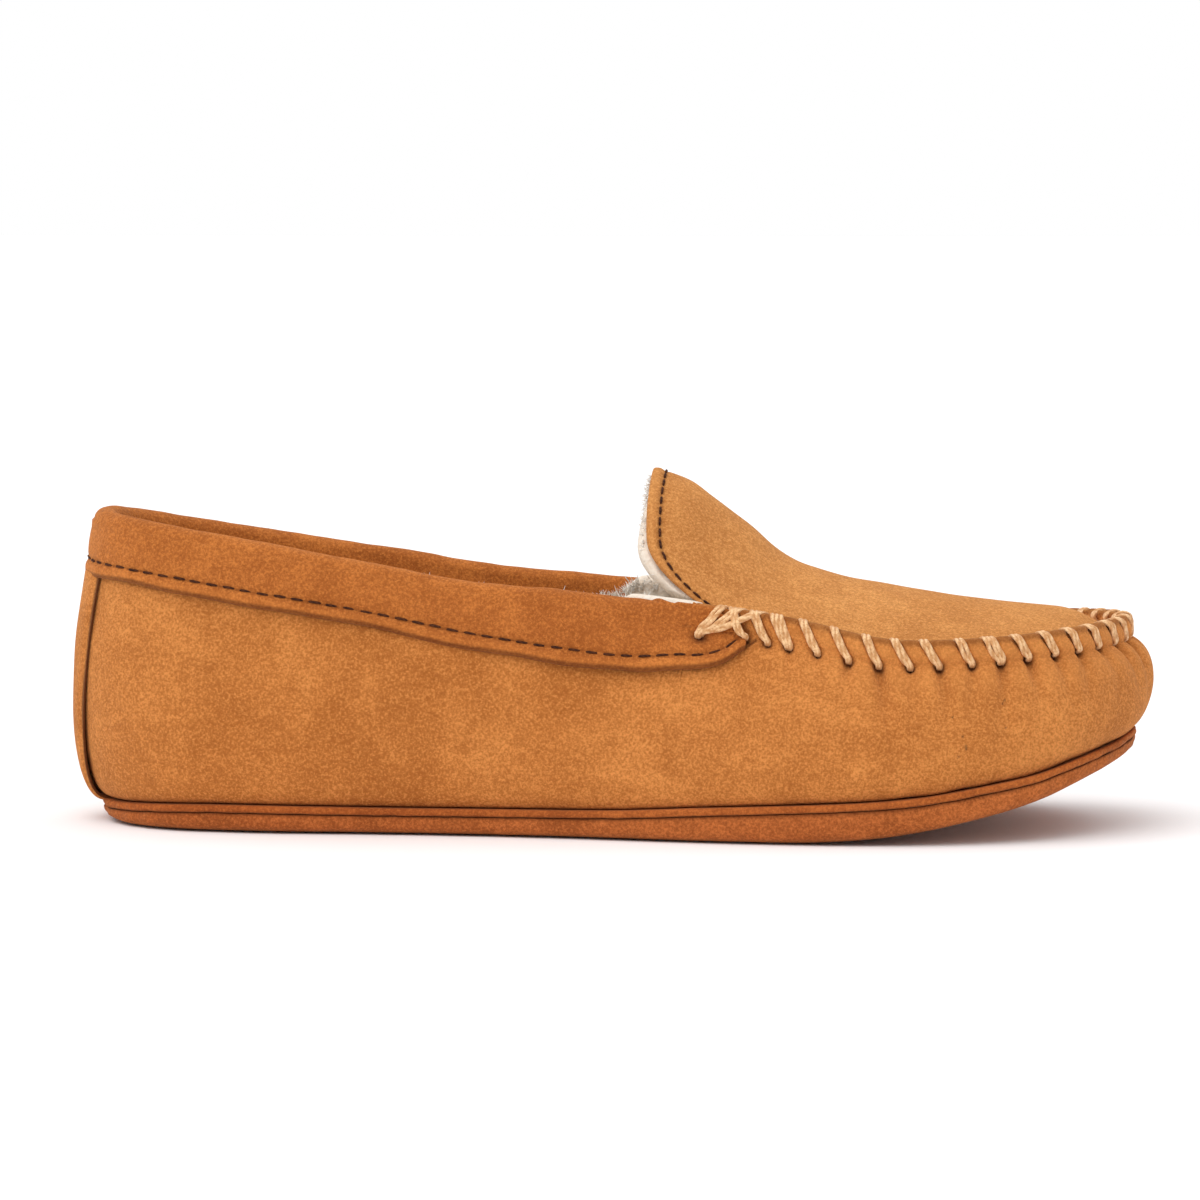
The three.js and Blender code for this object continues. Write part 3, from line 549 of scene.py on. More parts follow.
# Inner materials, out of sight: polyurethane foam with open cells, pressed fibreboard, cork filler
def innerStuff(name, base, fleck, grain, rough):
    material, tree, at = fresh(name)
    cells = add(tree, "ShaderNodeTexVoronoi", {"Vector": at, "Scale": grain}).outputs["Distance"]
    cloud = add(tree, "ShaderNodeTexNoise", {"Vector": at, "Scale": grain / 6, "Detail": 3.0})
    tone = blend(tree, stretch(tree, cells, 0.15, 0.6), fleck, base)
    tone = tint(tree, tone, fleck, cloud.outputs[0], 0.4, 0.65, 0.3)
    bump = add(tree, "ShaderNodeBump", {"Strength": 0.4, "Distance": 0.0004, "Height": cells})
    finishWith(tree, tone, {"Roughness": rough, "Normal": bump.outputs[0]})
    return material


# the last colour of each is the cut-edge colour, also used for painted shade
wallSuede = suede("brushed cow suede, wall", "#cc7d3b", "#a0581f", "#ea9b52", "#4a1e08")
collarSuede = suede("brushed cow suede, collar", "#bf6e31", "#944b17", "#dd873e", "#4a1e08")
# painted light: the plug's suede is a lighter copy of the wall's, as its top faces the light
plugSuedeLitCopy = suede("brushed cow suede, plug", "#d48d4a", "#ad692f", "#efab64", "#4a1e08")
weltSuede = suede("skived suede, welt", "#a85422", "#7a3610", "#c97335", "#431a06", 0.5, 0.15)
soleSuede = suede("reversed split suede, sole", "#b25e2c", "#824016", "#d2793d", "#431a06", 0.5, 0.15)
woolPile = shearlingPile("clipped sheepskin pile")
woolTips = shearlingPile("loose sheepskin tips", 0.05, "#fffdf9", "#fdf6ec")
whipThread = waxedLinen("waxed linen thread")
seamThread = bondedPolyester("bonded polyester thread")
innerLooks = {
    "midsole_foam": ("open-cell polyurethane foam", "#d9cfc0", "#b5a791", 900, 0.9),
    "topline_foam": ("soft collar foam", "#e1d7c7", "#beb09a", 1100, 0.95),
    "insole_board": ("pressed fibreboard, insole", "#a8875c", "#7d6140", 700, 0.85),
    "heel_counter": ("pressed fibreboard, counter", "#9c7a4f", "#735636", 700, 0.85),
    "bottom_filler": ("granulated cork filler", "#9c6f45", "#5f3d22", 450, 0.95),
}
for node, look in innerLooks.items():
    stuff = innerStuff(*look)
    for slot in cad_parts[node].material_slots:
        slot.material = stuff
print("materials made")

# Whip stitches: where the holes are along the raised seam
whip = {
    "throat": [0.6, 11.6, 16.9, 22.0], "pitch": 7.3,  # holes at each throat, then an even pitch
    "drop": 6.2, "toeDrop": 4.8, "lean": 3.1,  # hole below the crest, and lean up the ridge
    "strand": 1.15, "lift": 0.52, "bundle": [5.4, 8.8, 12.6],  # throat wraps end at these runs
}
seamStations = np.arange(pattern["throat"], farThroat + 1e-6, 0.01)
seamPoints = toplinePoint(seamStations)
seamRuns = runOf(seamPoints)
seamLength = seamRuns[-1]
evenStart = whip["throat"][-1]
evenCount = round((seamLength - 2 * evenStart) / whip["pitch"])
evenHoles = np.linspace(evenStart, seamLength - evenStart, evenCount + 1)
throatHoles = np.array(whip["throat"][:-1])
holes = np.concatenate([throatHoles, evenHoles, seamLength - throatHoles[::-1]])
holes[4:-4] += rng.normal(0, 0.22, len(holes) - 8)  # hand work is never quite even


def stationAt(run):
    return np.interp(run, seamRuns, seamStations)


def runAt(u):
    u = np.asarray(u, float)
    before = (u - pattern["throat"]) * 25.5
    after = seamLength + (u - farThroat) * 25.5
    inside = np.interp(u, seamStations, seamRuns)
    return np.where(u < pattern["throat"], before, np.where(u > farThroat, after, inside))


def fromThroat(run):  # distance along the seam from the nearer throat
    return np.minimum(run, seamLength - run)


def holeDrop(run):
    return mix(whip["drop"], whip["toeDrop"], step(25, 90, fromThroat(run)))


pleatDepth = rng.uniform(0.3, 1.2, len(holes))
pleatLength = rng.uniform(7, 14, len(holes))
pleatSkew = rng.uniform(-0.16, 0.16, len(holes))


def seamMarks(run, drop):
    # how far each place is pinched by a thread, sunk by a hole, folded in a pleat or puffed between
    run, drop = np.broadcast_arrays(run, drop)
    pinch, hole, fold = (np.zeros(run.shape) for _ in range(3))
    for k, at in enumerate(holes):
        deep = holeDrop(at)
        lean = whip["lean"] * np.clip(1 - drop / deep, 0, 1)
        if k in (0, len(holes) - 1):
            lean = -lean * 1.6
        beside = run - at + lean
        pinch += hump(beside, 1.25) * step(deep + 1.2, deep - 0.8, drop)
        hole += np.exp(-((run - at) / 1.05) ** 2 - ((drop - deep - 0.25) / 0.95) ** 2)
        past = np.maximum(0, drop - deep)
        width = 1.1 + 0.075 * past
        away = (run - at - pleatSkew[k] * past) / width
        fade = np.exp(-past / pleatLength[k]) * step(deep - 1.5, deep + 0.8, drop)
        fold += pleatDepth[k] * np.exp(-away ** 2) * fade
    puff = np.clip(1 - pinch, 0, 1) * hump(drop - 2.6, 2.4)
    return np.minimum(pinch, 1), np.minimum(hole, 1), fold, puff


print("seam:", round(float(seamLength), 1), "mm,", len(holes), "holes")

# Side wall: one piece of suede round the foot, gathered at the toe
wallMake = {
    "rear": 84, "front": 470, "marginRows": 4, "sideRows": 46, "seamRows": 13,
    "swell": 0.4, "pleat": 2.1, "pinch": 0.6, "hole": 1.15, "puff": 0.8, "scallop": 1.0,
}
u = np.concatenate([
    np.linspace(0, 6.6, wallMake["rear"] // 2, endpoint=False),
    np.linspace(6.6, 19.4, wallMake["front"], endpoint=False),
    np.linspace(19.4, 26, wallMake["rear"] // 2, endpoint=False)])
top = levelBelowTop(u, wallDrop(u))[:, None]
margin = np.linspace(-1, 0, wallMake["marginRows"], endpoint=False)[None, :] + 0 * top
climb = (1 - (1 - np.linspace(0, 1, wallMake["sideRows"])) ** 1.35)[None, :]
crest = np.linspace(0, 1, wallMake["seamRows"] + 1)[None, 1:]
joined = np.concatenate([climb * 0.93, 0.93 + 0.07 * crest], 1) * top
raised = np.concatenate([climb * np.ones_like(top), 1 + (top - 1) * crest], 1)
level = np.concatenate([margin, np.where(top > 1.02, raised, joined)], 1)
face = wallFace(u[:, None], level)
drop = np.cumsum(np.linalg.norm(np.diff(face[:, ::-1], axis=1), axis=-1), axis=1)
drop = np.concatenate([np.zeros_like(top), drop], 1)[:, ::-1] + wallDrop(u)[:, None] * (top < 2)
run = runAt(u)[:, None]
pinch, hole, fold, puff = seamMarks(run, drop)
inFront = step(2, 10, fromThroat(run))
front = step(14, 42, fromThroat(run))  # 0 at a throat, 1 round the toe
toeward = step(30, 95, fromThroat(run))
body = np.sin(np.clip(level, 0, 1) * math.pi) ** 0.6
relief = softness(face, 46, wallMake["swell"], 3) * body
relief += softness(face, 15, 0.10, 4) * body * (0.5 + front)
relief -= wallMake["pleat"] * fold * mix(0.28, 1.0, front) * inFront
relief += 0.75 * toeward * hump(drop - 10, 6) * np.clip(1 - 0.6 * fold, 0.3, 1)
relief += 1.3 * hump(u[:, None] - 13, 1.4) * body
relief += (wallMake["puff"] * puff - wallMake["pinch"] * pinch) * inFront
relief -= wallMake["hole"] * hole * inFront
face = face - up * (wallMake["scallop"] * (pinch - 0.45 * puff) * inFront
                    * hump(drop, 2.4))[..., None]
# painted shade: darker in the stitch holes, in the pleat folds and along the foot where the wall
# turns under into the welt seam; darker at the top of the raised seam for the cut edge's own colour
dark = np.clip(1.0 * hole * inFront + 0.22 * fold * front * hump(drop - 7, 7)
               + 0.45 * hump(drop, 0.75) * inFront * (top > 1.5), 0, 0.96)
dark = np.maximum(dark, 0.3 * hump(np.clip(level, 0, 1), 0.012) * (level > -0.05))
# painted shadow under the collar's lower edge
belowCollar = drop - collarDrop(u)[:, None]
dark = np.maximum(dark, 0.9 * hump(belowCollar, 0.42) * (placeX(u)[:, None] < 37))
# painted highlight: paler on the puffs between stitches and on the swells between pleats round the
# toe
pale = np.clip(0.5 * puff * inFront * front + 0.35 * front * hump(drop - 9, 5)
               * np.clip(1 - fold, 0, 1), 0, 1)
normals = faceNormals(face, True)
for _ in range(4):  # eases the crease under the raised seam
    normals[:, 1:-1] = unit(normals[:, :-2] + normals[:, 1:-1] + normals[:, 2:])
sideWall = lay("side_wall_suede", [skin(face, 0, -pattern["wall"], ring=True, relief=relief,
                                        normals=normals, marks={"dark": dark, "pale": pale})])
dress(sideWall, wallSuede, "suede", "side_wall")

# Plug: the apron over the instep, running up into the tongue
plugMake = {
    "half": 210, "flangeRows": 8, "faceRows": 60, "swell": 0.3, "seamRow": 2.6, "groove": 0.3,
    "stitch": 2.6, "gap": 0.7,
}
half = pattern["throat"] + (13 - pattern["throat"]) * np.linspace(0, 1, plugMake["half"]) ** 1.12
u = np.concatenate([half, 26 - half[-2::-1]])
inward = np.concatenate([
    np.linspace(-1, 0, plugMake["flangeRows"], endpoint=False),
    np.linspace(0, 1, plugMake["faceRows"]) ** 1.15])[None, :]
face = plugPoint(u[:, None], inward)


def plugNormals(face, u):
    n = faceNormals(face, False)
    x = along(spineLine, np.where(u < 13, u, 26 - u))
    slope = (along(crownLine, x + 0.3) - along(crownLine, x - 0.3)) / 0.6
    n[:, -1] = unit(np.stack([-slope, 0 * x, 0 * x + 1], -1))
    for j in (2, 3):
        n[:, -j] = unit(mix(n[:, -1], n[:, -j], 1 - 0.35 / (j - 1)))
    return n


normals = plugNormals(face, u)
run = runAt(u)[:, None]
drop = np.where(inward < 0, (1 + inward) * pattern["plugFlange"],
                pattern["plugFlange"] + inward * 30)
pinch, hole, fold, puff = seamMarks(run + whip["lean"] + 0.9, drop * 2.0)
fade = hump(np.maximum(0, inward) * 30, 7)
fromEdge = np.concatenate([np.zeros((1, face.shape[1])),
                           np.cumsum(np.linalg.norm(np.diff(face, axis=0), axis=-1), 0)])
fromEdge = np.minimum(fromEdge, fromEdge[::-1])
seamPart = step(0.03, 0.10, inward)
groove = hump(fromEdge - plugMake["seamRow"], 0.7) * seamPart
relief = softness(face, 42, plugMake["swell"], 8) * step(0, 0.3, inward)
relief += softness(face, 13, 0.07, 9) * step(0, 0.2, inward)
relief -= 0.45 * pinch * fade * step(8, 14, fromThroat(run))
relief -= plugMake["groove"] * groove
relief += 0.22 * hump(fromEdge - 1.0, 0.9) * seamPart
# painted shade in the stitch groove and in the crease at the flange foot; darker at the flange top
# for the cut edge's own colour
dark = np.clip(0.40 * groove ** 3 + 0.35 * hump(inward + 1, 0.12)
               + 0.30 * hump(np.abs(inward), 0.05), 0, 0.9) + 0 * face[..., 0]
# painted highlight along the rolled tongue edge
pale = 0.25 * hump(fromEdge - 0.4, 0.6) * seamPart
plug = lay("plug_suede", [skin(face, 0, -pattern["plug"], spine=True, normals=normals, relief=relief,
                               marks={"dark": dark, "pale": pale})])
dress(plug, plugSuedeLitCopy, "suede", "plug")

# Collar: a padded band folded over the topline
collarMake = {
    "columns": 460, "leafRows": 22, "foldRows": 18, "innerRows": 9, "puff": 0.75, "groove": 0.5,
    "row": 3.0, "stitch": 3.35, "gap": 0.9, "swell": 0.09,
}
u = np.linspace(-7.58, 7.58, collarMake["columns"])
x = placeX(u)[:, None]
leaf = np.linspace(0, 1, collarMake["leafRows"])[None, :]
topDrop = along(collarTopLine, x)
lowDrop = collarDrop(u)[:, None]
outFace = pattern["fit"] + pattern["collar"]
leafDrop = mix(lowDrop, topDrop, leaf)
outerLeaf = wallOffset(u[:, None] + 0 * leaf, levelBelowTop(u[:, None], leafDrop),
                       outFace + 0 * leafDrop)
shoulder = outerLeaf[:, -1:]
away = planNormal(topline, u)[:, None]
foldAmount = 1 - step(8, 18, x)
turn = np.linspace(0, 1, collarMake["foldRows"] + 1)[None, 1:]
angle = (math.pi * foldAmount * turn)[..., None]
radius = np.minimum(topDrop, 3.0)[..., None]
folded = shoulder + away * radius * (np.cos(angle) - 1) + up * radius * np.sin(angle)
depth = np.linspace(0, 1, collarMake["innerRows"] + 1)[None, 1:]
innerLeaf = folded[:, -1:] - up * (6 * (1 - step(-3, 8, x)) * depth)[..., None]
flatEnd = (foldAmount < 0.02)[..., None]
creep = up * 0.02 * np.arange(1, folded.shape[1] + innerLeaf.shape[1] + 1)[None, :, None]
tail = np.concatenate([folded, innerLeaf], 1)
tail = np.where(flatEnd, shoulder + creep, tail + creep * 0.2)
face = np.concatenate([outerLeaf, tail], 1)
normals = faceNormals(face, False)
flatNormals = np.repeat(normals[:, collarMake["leafRows"] - 3:collarMake["leafRows"] - 2],
                        face.shape[1], 1)
rows = np.arange(face.shape[1])[None, :, None]
normals = np.where(flatEnd & (rows > collarMake["leafRows"] - 3), flatNormals, normals)
rise = np.concatenate([lowDrop - leafDrop, np.repeat(lowDrop - topDrop, tail.shape[1], 1)], 1)
outer = (np.arange(face.shape[1])[None, :] < collarMake["leafRows"]) + 0.0
hasRow = step(36.0, 33.0, x)
rowGroove = hump(rise - collarMake["row"], 0.7) * outer
relief = collarMake["puff"] * np.sin(np.clip((rise - 3) / (lowDrop - 3.2), 0, 1) * math.pi) * outer
relief = relief * step(34, 14, x)
relief += 0.28 * hump(rise - 1.1, 1.1) * outer
collarRun = runOf(outerLeaf[:, 0])
pull = 0.75 + 0.25 * np.cos(2 * math.pi * collarRun / (collarMake["stitch"] + collarMake["gap"]))
relief -= collarMake["groove"] * rowGroove * pull[:, None] * hasRow
relief += softness(face, 30, collarMake["swell"], 12) * step(0, 3, rise)
relief += softness(face, 9, 0.06, 13)
waver = softness(face[:, :1], 22, 0.22, 14) * hump(rise, 2.5)
face = face + up * waver[..., None]
holeX = placeX(stationAt(whip["throat"][0]))
throatHole = np.exp(-((x - holeX) / 1.9) ** 2 - ((lowDrop - rise - 7.5) / 1.2) ** 2) * outer
relief -= 1.2 * throatHole
# painted shade in the stitch-row groove and in the hole at the throat; darker at the lower edge for
# the cut edge's own colour
dark = np.clip(0.45 * hump(rise - collarMake["row"], 0.3) * outer * hasRow
               + 0.6 * hump(rise, 0.22) * outer + 1.2 * throatHole, 0, 1)
# painted highlight on the rounded lower lip
pale = 0.35 * hump(rise - 0.9, 0.5) * outer
collar = lay("collar_suede", [skin(face, 0, -pattern["collar"], normals=normals, relief=relief,
                                   marks={"dark": dark, "pale": pale})])
dress(collar, collarSuede, "suede_collar", "collar_band")

# Heel strip over the back seam
stripMake = {"across": 40, "rows": 60, "swell": 0.15}
stripWidth = np.array([6.5, 7.5, 9, 10.5, 12, 13.3, 14.5, 15.5])
stripLevels = np.array([0.08, 0.17, 0.3, 0.45, 0.6, 0.75, 0.88, 1])
share = np.linspace(0, 1, stripMake["rows"])[None, :]
widthAt = np.interp(share, np.linspace(0, 1, 8), stripWidth)
u = np.linspace(-1, 1, stripMake["across"])[:, None] * widthAt / 18.5
top = levelBelowTop(u, collarDrop(u) + pattern["fit"] + 0.1)
level = np.interp(share, np.linspace(0, 1, 8), [0.015, *stripLevels[1:]]) * top
face = wallFace(u, level)
sideways = np.abs(np.linspace(-1, 1, stripMake["across"]))[:, None] + 0 * share
face = face - faceNormals(face, False) * (0.75 * hump(share, 0.07))[..., None]
relief = softness(face, 20, stripMake["swell"], 17) - 0.8 * hump(1 - sideways, 0.10)
# painted shade in the seam grooves along both sides and where the foot tucks under
dark = 0.85 * hump(1 - sideways, 0.025) + 0.5 * hump(share, 0.015)
strip = lay("heel_strip_suede", [skin(face, pattern["fit"] + pattern["strip"], pattern["fit"],
                                      relief=relief, marks={"dark": dark})])
dress(strip, wallSuede, "suede", "heel_strip")
print("uppers made")

# Machine seams: dark stitches sunk in their grooves
seamMake = {"width": 0.58, "thick": 0.6}


def stitchRow(path, normals, start, length, gap):
    run = runOf(path)
    made = []
    at = start
    while at + length < run[-1]:
        slip = rng.normal(0, 0.08)
        t = np.linspace(at, at + length + slip, 9)
        points = np.stack([np.interp(t, run, path[:, k]) for k in range(3)], -1)
        n = unit(np.stack([np.interp(t, run, normals[:, k]) for k in range(3)], -1))
        bow = np.sin(np.linspace(0, math.pi, 9))[:, None]
        points = points + n * (bow * 0.42 - 0.12)
        side = np.cross(n, np.gradient(points, axis=0))
        points = points + unit(side) * rng.normal(0, 0.05)
        made.append((strand(points, unit(side), seamMake["width"], seamMake["thick"], 8, 0.4), {}))
        at += length + gap
    return made


u = np.linspace(-7.56, 7.56, 900)
rowLevel = levelBelowTop(u, collarDrop(u) - collarMake["row"])
rowNormal = wallNormal(u, rowLevel)
rowPath = wallFace(u, rowLevel) + rowNormal * outFace
rowPath = rowPath + rowNormal * (softness(rowPath, 30, collarMake["swell"], 12) - 0.42)[:, None]
collarSeam = lay("collar_seam_thread", stitchRow(rowPath, rowNormal, 1.0, collarMake["stitch"],
                                                 collarMake["gap"]))
dress(collarSeam, seamThread, "machine_thread", "collar_stitching")

w = np.linspace(0.17, 1, 260)
first, second = plugPoint(pattern["throat"], w), plugPoint(pattern["throat"] + 0.06, w)
otherFirst, otherSecond = plugPoint(farThroat, w), plugPoint(farThroat - 0.06, w)
edge = np.concatenate([first, otherFirst[-2::-1]])
towards = unit(np.concatenate([second, otherSecond[-2::-1]]) - edge)
tongueNormal = unit(np.cross(towards, np.gradient(edge, axis=0)))
tongueNormal *= np.sign(tongueNormal[len(edge) // 2, 2])
tonguePath = edge + towards * plugMake["seamRow"]
across = np.concatenate([w, w[-2::-1]])
settle = softness(tonguePath, 42, plugMake["swell"], 8) * step(0, 0.3, across) - 0.2
tonguePath = tonguePath + tongueNormal * settle[:, None]
tongueSeam = lay("tongue_seam_thread", stitchRow(tonguePath, tongueNormal, 0.4, plugMake["stitch"],
                                                 plugMake["gap"]))
dress(tongueSeam, seamThread, "machine_thread", "tongue_stitching")

# Apron thread: whip stitches of two waxed strands over the raised seam


def seamPlace(run, out, drop):
    u = stationAt(run)
    return toplinePoint(u) + planNormal(topline, u) * out - up * drop


def outside(run, drop, lift):
    u = np.array(stationAt(run))
    return wallOffset(u, levelBelowTop(u, drop), lift)


def whipPaths(hole, lean, entry, deep, strands, over=0.0, gather=0.25):
    inside = -(pattern["wall"] + pattern["fit"] + pattern["plug"])
    lift = whip["lift"] + over
    made = []
    for s in range(strands):
        shift = (s - (strands - 1) / 2) * whip["strand"] * 0.93
        sway = rng.normal(0, 0.16, 3)
        points = [
            outside(hole + shift * gather, deep + 0.35, over * 0.75 - 0.9),
            outside(hole + shift * (gather + 0.3), deep - 0.25, lift * (0.55 + 0.2 * min(over, 1.0))),
            outside(hole - lean * 0.28 + shift * 0.95 + sway[0] * 0.5, deep * 0.72, lift + 0.1),
            outside(hole - lean * 0.62 + shift + sway[1] * 0.5, deep * 0.36, lift + 0.12),
            seamPlace(hole - lean * 0.92 + shift + sway[2] * 0.4, 0.45, 0.05),
            seamPlace(hole - lean * 1.08 + shift, inside * 0.42, -0.62),
            seamPlace(hole - lean * 1.2 + shift * 0.9, inside - 0.25, 0.15),
            seamPlace(hole - lean * 1.3 + shift * 0.6, inside - 0.55, 1.4),
            seamPlace(hole - lean * 1.34 + shift * 0.3, inside + 0.5, entry),
        ]
        path = curve(points, 30)
        u = stationAt(hole)
        forward = unit(toplinePoint(u + 0.02) - toplinePoint(u - 0.02))
        # painted shade where each strand goes into its hole
        dark = np.zeros((30, 9))
        dark[:3] = [[0.85], [0.6], [0.25]]
        dark[-3:] = [[0.2], [0.4], [0.6]]
        size = whip["strand"] * rng.uniform(0.94, 1.06)
        made.append((strand(path, np.broadcast_to(forward, path.shape), size, size * 0.92, 8, 0.1),
                     {"dark": dark}))
    return made


loops = []
for k, hole in enumerate(holes[1:-1]):
    count = 3 if k in (2, 9, 21) else 2
    atThroat = 2.2 if k in (0, len(holes) - 3) else 0.4 if k in (1, len(holes) - 4) else 0.0
    loops += whipPaths(hole, whip["lean"] * rng.uniform(0.9, 1.12), 2.6, float(holeDrop(hole)), count,
                       over=atThroat)
for mirrored in (False, True):
    base = seamLength - holes[0] if mirrored else holes[0]
    for k, reach in enumerate(whip["bundle"]):
        goal = reach * (-1 if mirrored else 1)
        loops += whipPaths(base + (0.75 * k - 0.7) * (-1 if mirrored else 1), -goal, 2.4,
                           7.2 - 0.45 * k, 2, over=2.2 - 0.1 * k, gather=0.95)
whipping = lay("apron_thread_strands", loops)
dress(whipping, whipThread, "waxed_thread", "apron_thread")
print("threads made:", len(loops), "strands over the seam")

# Shearling: wall lining, plug lining and footbed
pileMake = {"curl": 0.9, "clump": 3.8, "fine": 0.42, "columns": 400, "rows": 64}


def pile(places, seed):  # tufts of wool, as lumps of two sizes
    big = softness(places, pileMake["clump"] * 1.6, 1.0, seed, 24)
    small = softness(places, pileMake["clump"] * 0.65, 1.0, seed + 1, 24)
    return pileMake["curl"] * np.tanh(big) * 0.7 + pileMake["fine"] * small


def innerFace(x):
    rear = 1 - step(-66, -48, x)
    return -pattern["wall"] - pattern["fit"] - rear * (pattern["counter"] + pattern["fit"])


u = np.linspace(0, 26, pileMake["columns"] + 1)[:-1]
low = wallFace(u, 0)[:, 2] + inStack + 7 * pattern["fit"]
rear = 1 - step(4, 20, placeX(u))
rearDrop = collarDrop(u) - 6 + 0.1
high = toplinePoint(u)[:, 2] - mix(pattern["seamHeight"] + 6, rearDrop, rear)
high = high + rear * 2.4  # the pile stands up behind the collar
throat = step(-3, 7, placeX(u)) * (1 - step(22, 31, placeX(u)))
high = mix(high, toplinePoint(u)[:, 2] - 1.1, throat)
share = np.linspace(0, 1, pileMake["rows"])[None, :]
face = wallFace(u[:, None] + 0 * share, levelAt(u[:, None], mix(low[:, None], high[:, None], share)))
offset = innerFace(face[..., 0])
normals = faceNormals(face, True)
middleFace = face + normals * (offset - 0.3)[..., None]
places = middleFace - normals * 4.3
lining = lay("wall_lining_pile", [skin(middleFace, 0, -(pattern["lining"] - 0.6), ring=True,
                                       normals=normals, back=pile(places, 21) * 0.9)])
dress(lining, woolPile, "shearling", "wall_lining")

u = np.linspace(pattern["throat"], 12.4, 120)
shareAcross = np.linspace(0.24, 1, 34)
outerSide = plugPoint(u[:, None], shareAcross[None, :])
innerSide = plugPoint(26 - u[:, None], shareAcross[None, ::-1])
face = np.concatenate([outerSide, innerSide[:, 1:]], 1)
rearwards = unit(face[0] - face[2])
fromSpine = np.abs(np.linspace(-1, 1, face.shape[1]))[None, :, None]
reach = np.linalg.norm(face[0] - face[4], axis=-1)[None, :, None]
reach = mix(-1.9, 2.0, step(0.15, 1.0, fromSpine)) + reach
overhang = np.linspace(1, 0, 12, endpoint=False)[:, None, None] * reach
face = np.concatenate([face[4][None] + rearwards[None] * overhang, face[4:]])
normals = faceNormals(face, False)
under = -pattern["plug"] - pattern["fit"]
tufts = pile(face, 27)
edgeTufts = hump(np.arange(len(face)), 8.0)[:, None]
thin = 1.9 * (1 - step(0.0, 0.7, fromSpine[..., 0])) * hump(np.arange(len(face)), 16.0)[:, None]
tongueLining = lay("plug_lining_pile", [skin(face, under - 0.05, under - pattern["plugLining"] + 0.3,
                                             normals=normals, relief=tufts * 0.55 * edgeTufts,
                                             back=tufts * 0.9 - thin)])
dress(tongueLining, woolPile, "shearling", "plug_lining")

count = 220
u = np.linspace(0, 26, 2 * count + 1)[:-1]
foot = wallFace(u, 0)
loop = wallFace(u, levelAt(u, foot[:, 2] + 3.8))
loop = loop + planNormal(feather, u) * (innerFace(loop[:, 0]) - 2.9)[:, None]
t = np.linspace(0, 1, 70)[None, :, None]
trim = 2
outerSide, innerSide = loop[trim:count - trim + 1], loop[::-1][trim - 1:count - trim]
face = mix(outerSide[:, None], innerSide[:, None], t)
face[..., 2] = soleTop(face[..., 0]) + inStack + 3 * pattern["fit"] - 0.4
normals = np.broadcast_to(up, face.shape) + 0.0
across = np.abs(2 * t[..., 0] - 1)
dish = -0.9 * (1 - across ** 2) + 0.9 * across ** 4
footbed = lay("footbed_pile", [skin(face, 0, -4.2, normals=normals, edge=7,
                                    relief=pile(face, 33) * 0.9 + dish)])
dress(footbed, woolPile, "shearling", "footbed")

# Loose wool at the collar's inner edge and behind the tongue
fluffMake = {"collar": 3000, "tongue": 420, "length": (1.4, 3.0), "root": 0.36, "lock": 11}


def tuft(root, direction, length, seed):
    source = np.random.default_rng(seed)
    bend = unit(source.normal(size=3)) * 0.35 * length
    t = np.linspace(0, 1, 5)[:, None]
    path = root + direction * length * t + bend * t * t
    wide = unit(np.cross(direction, source.normal(size=3)))
    thick = fluffMake["root"]
    body = strand(path, np.broadcast_to(wide, path.shape), thick, thick * 0.7, 4, 0.05)
    taper = (1 - t[:, 0]) ** 0.7 + 0.04
    return path[:, None] + (body - path[:, None]) * taper[:, None, None]


tufts = []
while len(tufts) < fluffMake["collar"]:  # locks of eleven hairs, thickest by the throat
    u = rng.uniform(-6.75, 6.75)
    x = float(placeX(np.array(u)))
    plenty = math.exp(-((x + 3) / 17) ** 2) + 0.5 * math.exp(-((x + 114) / 6) ** 2) + 0.1
    if rng.uniform() > plenty:
        continue
    lift = 1.2 * math.exp(-((x + 2) / 14) ** 2)
    depth = 6 * (1 - step(-3, 8, x))
    inwards = -planNormal(topline, np.array(u))
    root = (toplinePoint(np.array(u)) + inwards * (4.9 + rng.uniform(0, 1.9))
            - up * (2.6 + depth - lift + rng.uniform(-1.5, 0.9)))
    lean = unit(inwards * rng.uniform(0.0, 0.6) + up * rng.uniform(0.5, 1.0) + rng.normal(0, 0.35, 3))
    for _ in range(fluffMake["lock"]):
        spread = rng.normal(0, 0.42, 3)
        away = unit(lean + spread * 0.45)
        length = rng.uniform(*fluffMake["length"]) * 0.85
        tufts.append((tuft(root + spread, away, length, len(tufts)), {}))
for k in range(fluffMake["tongue"]):
    side = rng.uniform(0.3, 0.97)
    u = pattern["throat"] if rng.uniform() < 0.5 else farThroat
    inner = u + 0.06 if u < 13 else u - 0.06
    here, beyond = plugPoint(u, side), plugPoint(inner, side)
    back = unit(here - beyond)
    n = unit(np.cross(back, plugPoint(u, side + 0.01) - here))
    n = n if n[2] > 0 else -n
    root = here + back * rng.uniform(0.2, mix(2.6, 0.4, side)) - n * rng.uniform(2.0, 4.2)
    lean = unit(back * rng.uniform(0.5, 1.0) + n * rng.uniform(-0.6, 0.3) + rng.normal(0, 0.3, 3))
    tufts.append((tuft(root, lean, rng.uniform(0.8, 1.7), 5000 + k), {}))
wool = lay("loose_wool", tufts)
dress(wool, woolTips, "shearling")
print("wool made:", len(tufts), "tufts")

# Sole: welt and outsole in reversed suede
soleMake = {"stations": 520, "weltIn": 3.0}
u = np.linspace(0, 26, soleMake["stations"] + 1)[:-1]


def loopAt(out, height):
    point = featherPoint(u, np.zeros_like(u) + out)
    point[:, 2] = height(point[:, 0])
    return point


